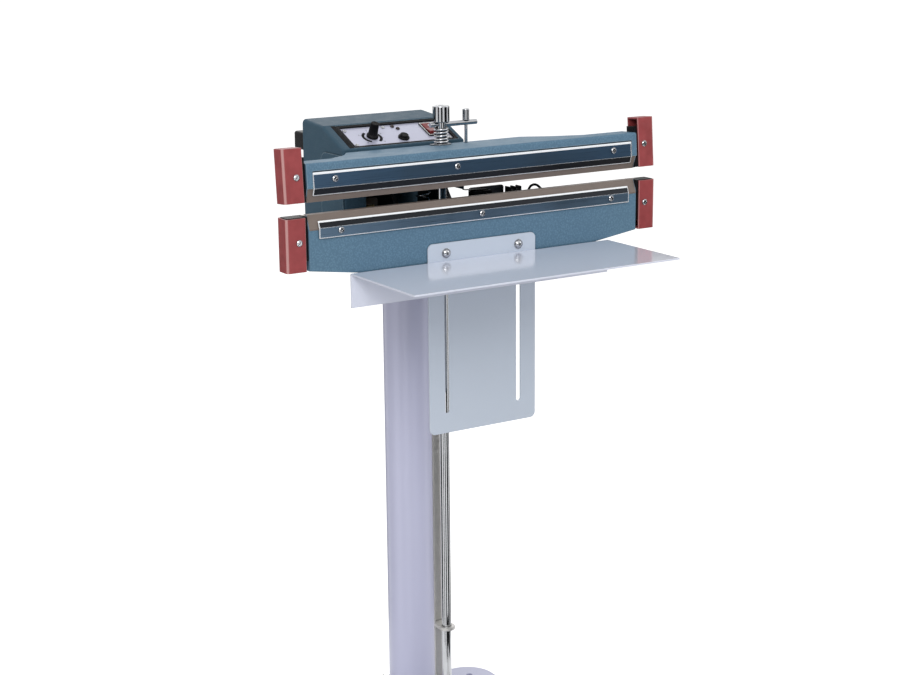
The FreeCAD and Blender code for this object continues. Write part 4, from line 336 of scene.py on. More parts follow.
CASTING_DUST = (0.5, 0.5, 0.48, 1.0)
PAINT_DUST = (0.42, 0.41, 0.39, 1.0)
PLASTIC_DUST = (0.4, 0.39, 0.37, 1.0)
# Painted shade in closed-in corners, with the dirt there, and on the clamp strips' slanted faces
CASTING_CORNER_SHADE = (0.01, 0.014, 0.018, 1.0)
METAL_CORNER_SHADE = (0.015, 0.015, 0.017, 1.0)
STRIP_CORNER_SHADE = (0.01, 0.012, 0.016, 1.0)
STRIP_SLANT_SHADE = (0.012, 0.014, 0.018, 1.0)
RUBBED_METAL = (0.8, 0.81, 0.83, 1.0)
RUBBED_HOUSING = (0.36, 0.47, 0.54, 1.0)
# Painted highlight on the tape's edges and bends
TAPE_EDGE_HIGHLIGHT = (0.55, 0.5, 0.46, 1.0)
LACQUER = (0.01, 0.09, 0.035, 1.0)
TRACK = (0.03, 0.2, 0.07, 1.0)
SHEET_SEAM = (0.07, 0.065, 0.06, 1.0)
SHEET = (0.2, 0.19, 0.18, 1.0)
VARNISH = (0.13, 0.09, 0.05, 1.0)
WRAP = (0.5, 0.33, 0.07, 1.0)
WRAP_PALE = (0.62, 0.43, 0.13, 1.0)
WRAP_LAP = (0.3, 0.18, 0.04, 1.0)
DARK_CARD = (0.012, 0.013, 0.016, 1.0)
BLACK = (0.0, 0.0, 0.0, 1.0)
WHITE = (1.0, 1.0, 1.0, 1.0)


def opaque(shade):
    """A colour setting as a socket takes it."""
    return (*shade, 1.0)


def toned(shade, factor, lift=0.0):
    """A darker or paler shade."""
    return (*(min(1.0, part * factor + lift) for part in shade[:3]), 1.0)


def finish(name, **plain):
    """A new material, its nodes and its shader, with the plain sockets set."""
    material = bpy.data.materials.new(name)
    material.use_nodes = True
    nodes = Nodes(material.node_tree)
    shader = material.node_tree.nodes["Principled BSDF"]
    nodes.feed(shader, **plain)
    return material, nodes, shader


def hammertone(name, shade, deep, edge, size, shine):
    """Hammertone paint on iron or sheet."""
    material, nodes, shader = finish(name, Coat_Weight=shine * 0.2, Coat_Roughness=0.3, IOR=1.3,
                                     Specular_IOR_Level=shine)
    marks = nodes.effect(hammer_marks, Size=size)
    edges = nodes.effect(edge_wear, Width=0.0011, Evenness=0.55)
    grime = nodes.effect(dust, Amount=0.02)
    shaded = nodes.effect(corners, Reach=0.004, Amount=0.75)
    base = nodes.blend(nodes.spread(marks["Height"], 0.1, 0.9), deep, shade)
    base = nodes.blend(nodes.spread(marks["Tone"], 0.3, 0.75, 0.0, 0.35), base, deep)
    base = nodes.blend(nodes.sum("MULTIPLY", edges["Mask"], 0.7), base, edge)
    base = nodes.blend(grime["Mask"], base, CASTING_DUST)
    # Painted shade and dirt where pieces meet
    base = nodes.blend(shaded["Mask"], base, CASTING_CORNER_SHADE)
    nodes.feed(shader, Base_Color=base, Roughness=nodes.spread(marks["Tone"], 0.2, 0.8, 0.42, 0.56),
               Normal=nodes.bump(marks["Height"], size * 0.04, edges["Normal"], 0.6))
    return material


def gloss_paint(name, shade, roughness, peel=0.00012, edge=None, coat=0.4):
    """Smooth paint with orange peel."""
    material, nodes, shader = finish(name, Coat_Weight=coat, Coat_Roughness=0.08)
    edges = nodes.effect(edge_wear, Width=0.0006, Evenness=0.4)
    grime = nodes.effect(dust, Amount=0.04)
    clouds = nodes.noise(5.0, 2.0)
    lighter = toned(shade, 1.12)
    base = nodes.blend(nodes.spread(clouds, 0.2, 0.8, 0.0, 0.3), shade, lighter)
    base = nodes.blend(nodes.sum("MULTIPLY", edges["Mask"], 0.6), base, edge or lighter)
    base = nodes.blend(grime["Mask"], base, PAINT_DUST)
    shine = nodes.spread(nodes.noise(30.0, 3.0), 0.2, 0.8, roughness * 0.95, roughness * 1.05)
    nodes.feed(shader, Base_Color=base, Roughness=shine,
               Normal=nodes.bump(nodes.noise(420.0, 1.0), peel, edges["Normal"], 0.5))
    return material


def bare_metal(name, shade, roughness, streak=None, edge=None, wear=0.25):
    """Metal, plain or brushed."""
    material, nodes, shader = finish(name, Metallic=1.0)
    edges = nodes.effect(edge_wear, Width=0.0005, Evenness=0.8)
    clouds = nodes.noise(60.0, 4.0, 0.6)
    base = nodes.blend(nodes.spread(clouds, 0.35, 0.75, 0.0, 0.5), shade, toned(shade, 0.78))
    base = nodes.blend(nodes.sum("MULTIPLY", edges["Mask"], wear), base, edge or RUBBED_METAL)
    # Painted shade and dirt where pieces meet
    base = nodes.blend(nodes.effect(corners, Reach=0.003, Amount=0.9)["Mask"], base, METAL_CORNER_SHADE)
    if streak:
        height = nodes.effect(brushing, Length=streak[0], Width=streak[1])["Height"]
    else:
        height = nodes.noise(900.0, 2.0)
    nodes.feed(shader, Base_Color=base, Roughness=nodes.spread(height, 0.25, 0.75, roughness * 0.7, roughness * 1.35),
               Normal=nodes.bump(height, 0.00002, edges["Normal"], 0.5))
    return material


def moulding(name, shade, roughness, grain=0.0004, edge=None, wear=0.5, ior=1.45, corner_highlight=0.0):
    """Moulded plastic with a fine grain."""
    material, nodes, shader = finish(name, IOR=ior, Specular_IOR_Level=0.45)
    edges = nodes.effect(edge_wear, Width=0.0007, Evenness=0.7)
    grime = nodes.effect(dust, Amount=0.04)
    paler = toned(shade, 1.25, 0.004)
    base = nodes.blend(nodes.spread(nodes.noise(70.0, 3.0), 0.3, 0.7), shade, paler)
    # Painted highlight on rounded upright corners, in the edge colour
    base = nodes.blend(nodes.effect(upright_highlight, Amount=corner_highlight)["Mask"], base, edge or paler)
    base = nodes.blend(nodes.sum("MULTIPLY", edges["Mask"], wear), base, edge or paler)
    base = nodes.blend(grime["Mask"], base, PLASTIC_DUST)
    shine = nodes.spread(nodes.noise(240.0, 2.0), 0.3, 0.7, roughness * 0.85, roughness * 1.15)
    nodes.feed(shader, Base_Color=base, Roughness=shine,
               Normal=nodes.bump(nodes.noise(1.0 / grain, 2.0), grain * 0.08, edges["Normal"], 0.6))
    return material


def casting_paint(colours, sizes):
    """Blue-grey hammertone of the jaws."""
    return hammertone("Casting Paint", opaque(colours.casting), opaque(colours.casting_deep),
                      opaque(colours.casting_edge), sizes.hammer_size, 0.28)


def housing_paint(colours, sizes):
    """Dark teal of the control housing."""
    return hammertone("Housing Paint", opaque(colours.housing), opaque(colours.housing_deep),
                      RUBBED_HOUSING, sizes.hammer_size * 0.7, 0.14)


def stand_paint(colours, sizes):
    """Lavender-white gloss of the stand."""
    return gloss_paint("Stand Paint", opaque(colours.stand), 0.32, 0.00003, coat=0.0)


def plate_paint(colours, sizes):
    """The stand's paint made greyer as painted shade, on the slotted plate."""
    return gloss_paint("Shaded Plate Paint", opaque(colours.plate), 0.3, 0.00003, (0.7, 0.74, 0.8, 1.0), 0.1)


def table_paint(colours, sizes):
    """The same paint on the table, worn glossy by the bags, made paler overall as painted light from above."""
    # The paler shade is painted light on the table
    return gloss_paint("Lit Table Paint", opaque(colours.table), 0.14, 0.00005, (0.95, 0.95, 0.98, 1.0), 0.7)


def black_paint(colours, sizes):
    """Satin black of the bracket and pedal."""
    return gloss_paint("Black Paint", opaque(colours.black), 0.38, 0.0002, (0.2, 0.19, 0.18, 1.0), 0.1)


def grey_strip(colours, sizes):
    """Rolled flat bar."""
    return bare_metal("Flat Bar", (0.66, 0.65, 0.63, 1.0), 0.5, (0.05, 0.0006), (0.8, 0.79, 0.77, 1.0))


def panel_face(colours, sizes):
    """Metallic lavender of the panel."""
    material = gloss_paint("Panel Paint", opaque(colours.panel), 0.35, 0.00004)
    material.node_tree.nodes["Principled BSDF"].inputs["Metallic"].default_value = 0.25
    return material


def chrome(colours, sizes):
    """Bright plating."""
    return bare_metal("Chrome", opaque(colours.chrome), 0.07)


def clamp_steel(colours, sizes):
    """Brushed steel strip, with a painted highlight on its lips and bends and painted shade where it slants in to the
    seal.
    """
    material, nodes, shader = finish("Clamp Steel")
    streaks = nodes.effect(brushing, Length=0.09, Width=0.0005)["Height"]
    edges = nodes.effect(edge_wear, Width=0.002, Evenness=1.0)
    height = nodes.parts(nodes.place())[2]
    upper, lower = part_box("upper_clamp_strip"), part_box("lower_clamp_strip")
    on_upper = nodes.sum("GREATER_THAN", height, (upper[0].z + lower[1].z) / 2)
    # Painted highlight: a band along the top of each strip, with its edges and bends, made pale and less metallic
    top = nodes.add("Mix", {0: on_upper, 2: lower[1].z - sizes.lip_width * 0.8, 3: upper[1].z - sizes.lip_width})
    lip = nodes.sum("GREATER_THAN", height, top.outputs[0])
    bright = nodes.sum("MAXIMUM", nodes.spread(edges["Mask"], 0.02, 0.3), lip)
    # Painted shade on the strips' slanted faces, which look up or down
    slant_shade = nodes.spread(nodes.change("ABSOLUTE", nodes.parts(nodes.true_normal())[2]), 0.12, 0.25)
    # The upper strip's darker blue is a painted reflection on the same steel
    base = nodes.blend(on_upper, opaque(colours.strip), opaque(colours.strip_upper))
    base = nodes.blend(nodes.spread(nodes.noise(14.0, 3.0), 0.4, 0.8, 0.0, 0.6), base, toned(colours.strip, 0.4))
    base = nodes.blend(slant_shade, base, STRIP_SLANT_SHADE)
    # Painted shade and dirt where pieces meet
    base = nodes.blend(nodes.effect(corners, Reach=0.004, Amount=0.8)["Mask"], base, STRIP_CORNER_SHADE)
    # Painted highlight on the lips, edges and bends
    base = nodes.blend(bright, base, opaque(colours.strip_edge))
    nodes.feed(shader, Base_Color=base, Metallic=nodes.spread(bright, 0.0, 1.0, 0.7, 0.1),
               Roughness=nodes.spread(streaks, 0.25, 0.75, 0.24, 0.42),
               Normal=nodes.bump(streaks, 0.00002, edges["Normal"], 0.5))
    return material


def zinc_steel(colours, sizes):
    """Zinc plating."""
    return bare_metal("Zinc", opaque(colours.zinc), 0.3)


def spring_steel(colours, sizes):
    """Bright spring wire."""
    return bare_metal("Spring Wire", (0.62, 0.62, 0.64, 1.0), 0.2)


def bronze(colours, sizes):
    """Sintered bronze of the bushes."""
    return bare_metal("Bronze", opaque(colours.bronze), 0.42)


def ribbon(colours, sizes):
    """Heating ribbon."""
    return bare_metal("Ribbon", (0.4, 0.36, 0.32, 1.0), 0.3, (0.02, 0.0003))


def brown_tape(colours, sizes):
    """Brown woven tape with a waxy coat."""
    material, nodes, shader = finish("Brown Tape", Coat_Weight=0.25, Coat_Roughness=0.35, Roughness=0.5)
    shade = opaque(colours.tape)
    cloth = nodes.effect(tape_weave, Thread=sizes.weave)["Height"]
    edges = nodes.effect(edge_wear, Width=0.0007, Evenness=0.6)
    dark = toned(shade, 0.62)
    base = nodes.blend(cloth, dark, shade)
    base = nodes.blend(nodes.spread(nodes.noise(55.0, 4.0), 0.35, 0.7, 0.0, 0.4), base, dark)
    # Painted highlight along the tape's edges and bends
    base = nodes.blend(nodes.sum("MULTIPLY", edges["Mask"], 0.6), base, TAPE_EDGE_HIGHLIGHT)
    nodes.feed(shader, Base_Color=base, Normal=nodes.bump(cloth, 0.00008, edges["Normal"], 0.6))
    return material


def red_plastic(colours, sizes):
    """Brick-red end caps."""
    # The caps' pale edge colour is both wear and a painted highlight on their upright corners
    return moulding("Red Moulding", opaque(colours.cap), 0.36, 0.0006, opaque(colours.cap_edge), 0.7, corner_highlight=0.8)


def black_plastic(colours, sizes):
    """Black mouldings."""
    return moulding("Black Moulding", (0.006, 0.006, 0.007, 1.0), 0.3, 0.0004, (0.06, 0.06, 0.065, 1.0), ior=1.15)


def lamp_lens(colours, sizes):
    """Dark red lens of a lamp that is off."""
    return moulding("Lamp Lens", (0.014, 0.004, 0.004, 1.0), 0.08, 0.001)


def rocker_red(colours, sizes):
    """Dark red rocker."""
    return moulding("Rocker Red", opaque(colours.rocker), 0.22, 0.0006, (0.4, 0.08, 0.08, 1.0))


def green_board(colours, sizes):
    """Circuit board with its tracks under the lacquer."""
    material, nodes, shader = finish("Board", Roughness=0.3, Coat_Weight=0.5)
    squares = nodes.add("TexBrick", {
        "Vector": nodes.place(), "Scale": 90.0, "Color1": BLACK, "Color2": BLACK, "Mortar": WHITE,
        "Mortar Size": 0.03, "Brick Width": 0.7, "Row Height": 0.3,
    }).outputs[0]
    tracks = nodes.add("RGBToBW", {0: squares}).outputs[0]
    nodes.feed(shader, Base_Color=nodes.blend(tracks, LACQUER, TRACK), Normal=nodes.bump(tracks, 0.00004))
    return material


def core_steel(colours, sizes):
    """Varnished laminations."""
    material, nodes, shader = finish("Laminations", Metallic=0.7, Roughness=0.4)
    sheet_thickness = 0.0008
    along = nodes.sum("MULTIPLY", nodes.parts(nodes.place())[1], TURN / sheet_thickness)
    sheets = nodes.spread(nodes.change("SINE", along), -1.0, 1.0)
    stains = nodes.spread(nodes.noise(60.0, 4.0), 0.35, 0.7)
    base = nodes.blend(sheets, SHEET_SEAM, SHEET)
    nodes.feed(shader, Base_Color=nodes.blend(stains, base, VARNISH), Normal=nodes.bump(sheets, 0.0001))
    return material


def coil_wrap(colours, sizes):
    """Yellow tape round the winding."""
    material, nodes, shader = finish("Winding Wrap", Roughness=0.32, Coat_Weight=0.3)
    tape_width = 0.011
    upright = nodes.sum("MULTIPLY", nodes.parts(nodes.place())[2], TURN / tape_width)
    laps = nodes.spread(nodes.change("SINE", upright), 0.85, 1.0)
    base = nodes.blend(nodes.spread(nodes.noise(50.0, 3.0), 0.3, 0.7), WRAP, WRAP_PALE)
    nodes.feed(shader, Base_Color=nodes.blend(laps, base, WRAP_LAP), Normal=nodes.bump(laps, 0.0002))
    return material


def rubber(colours, sizes):
    """Rubber of the foot pad."""
    return moulding("Rubber", (0.018, 0.018, 0.018, 1.0), 0.75, 0.0009, (0.08, 0.078, 0.075, 1.0), 0.8)


def ink(colours, sizes):
    """Screen-printed ink."""
    return moulding("Ink", (0.006, 0.006, 0.007, 1.0), 0.4, 0.0003, ior=1.1)


def white_ink(colours, sizes):
    """White print on the rocker."""
    return moulding("White Ink", (0.75, 0.75, 0.75, 1.0), 0.4, 0.0003)


FINISHES = {made.__name__: made for made in (
    casting_paint, housing_paint, stand_paint, plate_paint, table_paint, black_paint, grey_strip, panel_face,
    chrome, clamp_steel, zinc_steel, spring_steel, bronze, ribbon, brown_tape, red_plastic, black_plastic,
    lamp_lens, rocker_red, green_board, core_steel, coil_wrap, rubber, ink, white_ink)}
# The slotted plate gets a greyer copy of the stand paint as painted shade
OWN_FINISH = {"slotted_plate": "plate_paint"}
MADE = {}


def finish_for(slot):
    """The material of a slot, made when it is first asked for."""
    if slot not in MADE:
        scene = bpy.context.scene
        MADE[slot] = FINISHES[slot](scene.sealer_colours, scene.sealer_sizes)
    return MADE[slot]


# Meshes

SAME_POINT = 1e-7
SHARP = math.radians(40)
COIL_STEPS = 28
WIRE_SIDES = 12
BEAD_SIDES = 8
BEAD_STEP = 0.45
BEAD_OFF = 0.3
RIPPLE = 0.13
RIPPLE_STEPS = 4
THREAD_STEPS = 20
THREAD_DEPTH = 0.22
THREAD_SUNK = 0.0001
SECTOR_STEP = math.radians(5)


def add_object(name, bm, material):
    """A bmesh as a new object with its material."""
    mesh = bpy.data.meshes.new(name)
    bm.to_mesh(mesh)
    bm.free()
    mesh.materials.append(material)
    thing = bpy.data.objects.new(name, mesh)
    bpy.context.scene.collection.objects.link(thing)
    return thing


def piece(name, bm, body, slot, smooth=True, material=None):
    """Turns a bmesh into a finished piece that rides on a body."""
    bmesh.ops.remove_doubles(bm, verts=bm.verts, dist=SAME_POINT)
    bmesh.ops.recalc_face_normals(bm, faces=bm.faces)
    thing = add_object(name, bm, finish_for(material or slot))
    if smooth:
        thing.data.shade_smooth()
        thing.data.set_sharp_from_angle(angle=SHARP)
    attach(thing, body)
    return thing


def everything(bm):
    """All of a bmesh's geometry, as its operators take it."""
    return bm.verts[:] + bm.edges[:] + bm.faces[:]


def edges_at(verts):
    """The edges that meet in some corners."""
    return list({edge for vert in verts for edge in vert.link_edges})


def add_ring(bm, radius, segments, place):
    """An open ring: its corners and its edges."""
    verts = bmesh.ops.create_circle(bm, segments=segments, radius=radius, matrix=place)["verts"]
    return verts, edges_at(verts)


def coil(foot, mean, wire, height, open_turns):
    """A compression spring on a foot point, with a closed turn and a ground face at each end."""
    bm = bmesh.new()
    sideways = Matrix.Translation((mean, 0, wire * 0.5)) @ Matrix.Rotation(math.pi / 2, 4, "X")
    verts, edges = add_ring(bm, wire, WIRE_SIDES, sideways)
    last = verts + edges
    closed_rise = 2 * wire
    open_rise = (height - wire - 2 * closed_rise) / open_turns
    for turns, rise in ((1, closed_rise), (open_turns, open_rise), (1, closed_rise)):
        count = round(COIL_STEPS * turns)
        made = bmesh.ops.spin(bm, geom=last, cent=(0, 0, 0), axis=UP, dvec=UP * (rise * turns / count),
                              angle=TURN * turns, steps=count)
        last = made["geom_last"]
    for level, way in ((0, -UP), (height, UP)):
        bmesh.ops.bisect_plane(bm, geom=everything(bm), plane_co=UP * level, plane_no=way, clear_outer=True)
    bmesh.ops.holes_fill(bm, edges=[edge for edge in bm.edges if edge.is_boundary])
    bmesh.ops.translate(bm, verts=bm.verts, vec=foot)
    return bm


def add_bead(bm, path, radius, closed=False):
    """A weld bead along a path: rings that swell and shrink like the ripples of a weld."""
    rings = []
    last = len(path) - 1
    for index, point in enumerate(path):
        ahead = path[(index + 1) % len(path)] if closed else path[min(index + 1, last)]
        behind = path[index - 1] if closed else path[max(index - 1, 0)]
        along = (ahead - behind).to_track_quat("Z", "Y").to_matrix().to_4x4()
        swell = 1 + RIPPLE * math.sin(index * TURN / RIPPLE_STEPS)
        if not closed and index in (0, last):
            swell = 0.5
        rings.append(add_ring(bm, radius * swell, BEAD_SIDES, Matrix.Translation(point) @ along)[1])
    pairs = list(zip(rings, rings[1:]))
    if closed:
        pairs.append((rings[-1], rings[0]))
    for first, second in pairs:
        bmesh.ops.bridge_loops(bm, edges=first + second)
    if not closed:
        bmesh.ops.holes_fill(bm, edges=rings[0] + rings[-1])


def round_path(centre, radius, step):
    """Points round a circle, in whole ripples."""
    count = max(12, round(TURN * radius / step / RIPPLE_STEPS) * RIPPLE_STEPS)
    return [centre + Vector((math.cos(TURN * k / count), math.sin(TURN * k / count), 0)) * radius
            for k in range(count)]


def straight_path(start, end, step):
    """Points along a line."""
    start, end = Vector(start), Vector(end)
    count = max(4, round((end - start).length / step))
    return [start.lerp(end, k / count) for k in range(count + 1)]


def add_thread(bm, place, radius, height, pitch):
    """A helical ridge round a place's Z, spun from its three-cornered section."""
    turns = height / pitch
    root, crest = radius - THREAD_SUNK, radius + pitch * THREAD_DEPTH
    section = [bm.verts.new(place @ Vector(corner))
               for corner in ((root, 0, 0), (crest, 0, pitch * 0.5), (root, 0, pitch))]
    edges = [bm.edges.new(pair) for pair in zip(section, section[1:])]
    count = round(THREAD_STEPS * turns)
    axis = place.to_3x3() @ UP
    bmesh.ops.spin(bm, geom=section + edges, cent=place.translation, axis=axis, dvec=axis * (height / count),
                   angle=TURN * turns, steps=count)


def add_block(bm, low, high, bevel):
    """A block between two corners with softened edges."""
    low, high = Vector(low), Vector(high)
    place = Matrix.Translation((low + high) / 2) @ Matrix.Diagonal((*(high - low), 1))
    edges = edges_at(bmesh.ops.create_cube(bm, size=1, matrix=place)["verts"])
    bmesh.ops.bevel(bm, geom=edges, offset=bevel, segments=2, affect="EDGES", profile=0.5, material=-1)


def add_sector(bm, place, inner, outer, start, end, thick):
    """A ring sector of ink on a place's XY, from one angle to another, with its thickness along Z."""
    corners = [Vector((math.cos(start) * radius, math.sin(start) * radius, rise))
               for radius, rise in ((inner, 0), (outer, 0), (outer, thick), (inner, thick))]
    section = [bm.verts.new(place @ corner) for corner in corners]
    edges = [bm.edges.new(pair) for pair in zip(section, section[1:] + section[:1])]
    made = bmesh.ops.spin(bm, geom=section + edges, cent=place.translation, axis=place.to_3x3() @ UP,
                          angle=end - start, steps=max(1, round(abs(end - start) / SECTOR_STEP)))
    rim = [part for part in made["geom_last"] if isinstance(part, bmesh.types.BMEdge)]
    if abs(end - start) < TURN:
        bmesh.ops.holes_fill(bm, edges=edges + rim)


def add_slab(bm, place, low, high, thick):
    """A rectangle of ink on a place's XY."""
    low, high = Vector(low), Vector(high)
    centre = (low + high) / 2
    size = Matrix.Diagonal((high.x - low.x, high.y - low.y, thick, 1))
    bmesh.ops.create_cube(bm, size=1, matrix=place @ Matrix.Translation((centre.x, centre.y, thick / 2)) @ size)


def add_text(bm, words, size, place, thick):
    """Plain characters as thin solids."""
    curve = bpy.data.curves.new("characters", "FONT")
    curve.body = words
    curve.size = size
    curve.extrude = thick / 2
    curve.align_x = "CENTER"
    curve.align_y = "CENTER"
    holder = bpy.data.objects.new("characters", curve)
    bpy.context.scene.collection.objects.link(holder)
    bpy.context.view_layer.update()
    mesh = bpy.data.meshes.new_from_object(holder)
    mesh.transform(place @ Matrix.Translation((0, 0, thick / 2)))
    bm.from_mesh(mesh)
    bpy.data.objects.remove(holder)
    bpy.data.curves.remove(curve)
    bpy.data.meshes.remove(mesh)


# Places taken from the machine

PANEL_OUT = Vector(JOINTS["timer_turn"]["axis"]).normalized()
UP_PANEL = PANEL_OUT.cross(RIGHT)
OFF_PANEL = PANEL_OUT * 0.02


def pivot_of(joint):
    """Where a joint turns."""
    return Vector(JOINTS[joint]["pos_m"])


def meet(node, start, way):
    """Where a ray from a point first meets a node, and the way that its surface looks."""
    hit, point, out, _ = frame["nodes"][node].ray_cast(start, way)
    if not hit:
        raise ValueError(f"a ray misses {node}")
    return point, out


def surface(node, start, way):
    """The frame where a ray first meets a node: X to the right, Z out of the surface."""
    point, out = meet(node, start, way)
    return Matrix.Translation(point) @ Matrix((RIGHT, out.cross(RIGHT), out)).transposed().to_4x4()


def on_panel(node, joint, sideways):
    """The frame on a node of the panel at a joint, read so far to the joint's right."""
    level = surface(node, pivot_of(joint) + RIGHT * sideways + OFF_PANEL, -PANEL_OUT)
    return Matrix.Translation(-RIGHT * sideways) @ level


def half_slope(low, high):
    """Half the height up the panel's slope of a box."""
    return (high.y - low.y) / 2 / PANEL_OUT.z


class SEALER_OT_finishes(bpy.types.Operator):
    """Give every machine part the finish of its slot"""

    bl_idname = "sealer.finishes"
    bl_label = "Finishes"

    def execute(self, context):
        slots = {part["node"]: part["material_slot"] for part in frame["record"]["subparts"]}
        for node, thing in frame["nodes"].items():
            for holder in thing.material_slots:
                holder.material = finish_for(OWN_FINISH.get(node, slots[node]))
        return {"FINISHED"}


class SEALER_OT_springs(bpy.types.Operator):
    """Wind the pressure spring under the cross bar and the lift spring under the arm"""

    bl_idname = "sealer.springs"
    bl_label = "Springs"

    def execute(self, context):
        wire = context.scene.sealer_sizes.wire_radius
        springs = (
            ("pressure_spring", "pressure_coil", "rod", 3.5, "rod_slide", 1),
            ("lift_spring", "lift_coil", "frame", 6.5, "jaw_hinge", 0),
        )
        for node, name, body, turns, joint, held in springs:
            low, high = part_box(node)
            centre = (low + high) / 2
            height = high.z - low.z
            foot = Vector((centre.x, centre.y, low.z))
            outside = (high.x - low.x) / 2
            spring = piece(name, coil(foot, outside - wire, wire, height, turns), body, "spring_steel")
            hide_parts(node)
            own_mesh(spring)
        return {"FINISHED"}


class SEALER_OT_welds(bpy.types.Operator):
    """Lay the weld beads of the stand, bracket and pedal"""

    bl_idname = "sealer.welds"
    bl_label = "Welds"

    def execute(self, context):
        sizes = context.scene.sealer_sizes
        self.weld_column(sizes.weld_radius)
        self.weld_bracket(sizes.weld_radius * 0.8, sizes.cheek_outside)
        self.weld_pedal(sizes.weld_radius * 0.7)
        return {"FINISHED"}

    def weld_column(self, radius):
        """A bead round each end of the column."""
        low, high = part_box("column_tube")
        round_column = (high.x - low.x) / 2 + radius * BEAD_OFF
        bm = bmesh.new()
        for node, end in (("foot_flange", 1), ("head_flange", 0)):
            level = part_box(node)[end].z
            add_bead(bm, round_path(UP * level, round_column, radius * BEAD_STEP), radius, closed=True)
        piece("column_welds", bm, "frame", "stand_paint")

    def weld_bracket(self, radius, cheek):
        """A bead along the foot of each hinge cheek."""
        front_gap, along, under_shaft = 0.035, 0.03, 0.02
        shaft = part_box("hinge_shaft")
        start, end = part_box("head_bracket")[0].y + front_gap, shaft[1].y
        bm = bmesh.new()
        for side in (-1, 1):
            x = side * cheek
            over = Vector((x + side * radius, start + along, shaft[0].z - under_shaft))
            level = meet("head_bracket", over, -UP)[0].z
            add_bead(bm, straight_path((x, start, level), (x, end, level), radius * BEAD_STEP), radius)
        piece("bracket_welds", bm, "frame", "black_paint")

    def weld_pedal(self, radius):
        """A bead round the middle of the pedal's sleeve."""
        over = 0.05
        pivot = pivot_of("pedal_hinge")
        sleeve = meet("pedal_lever", pivot + UP * over, -UP)[0].z - pivot.z
        upright = Matrix.Rotation(math.pi / 2, 3, "Y")
        ring = round_path(Vector(), sleeve + radius * BEAD_OFF, radius * BEAD_STEP)
        bm = bmesh.new()
        add_bead(bm, [upright @ point + pivot for point in ring], radius, closed=True)
        piece("pedal_welds", bm, "pedal", "black_paint")


class SEALER_OT_threads(bpy.types.Operator):
    """Cut the threads of the pull rod and the table bolts"""

    bl_idname = "sealer.threads"
    bl_label = "Threads"

    def execute(self, context):
        sizes = context.scene.sealer_sizes
        self.thread_rod(sizes.thread_pitch)
        self.thread_bolts(sizes.table_bolt_radius, sizes.table_bolt_head)
        return {"FINISHED"}

    def thread_rod(self, pitch):
        """The pull rod's thread, from its foot to a little above its nuts."""
        past_nuts = 0.03
        low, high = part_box("pull_rod")
        centre = (low + high) / 2
        foot = Matrix.Translation((centre.x, centre.y, low.z + pitch))
        bm = bmesh.new()
        add_thread(bm, foot, (high.x - low.x) / 2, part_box("rod_nuts")[1].z - low.z + past_nuts, pitch)
        piece("rod_thread", bm, "rod", "chrome")

    def thread_bolts(self, radius, head):
        """The ends of the table bolts, behind their nuts."""
        from_end, threaded, pitch = 0.0035, 0.0025, 0.001
        low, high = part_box("table_bolts")
        bm = bmesh.new()
        for x in (low.x + head, high.x - head):
            end = Matrix.Translation((x, high.y - from_end, (low.z + high.z) / 2))
            add_thread(bm, end @ Matrix.Rotation(-math.pi / 2, 4, "X"), radius, threaded, pitch)
        piece("table_bolt_threads", bm, "table", "zinc_steel")


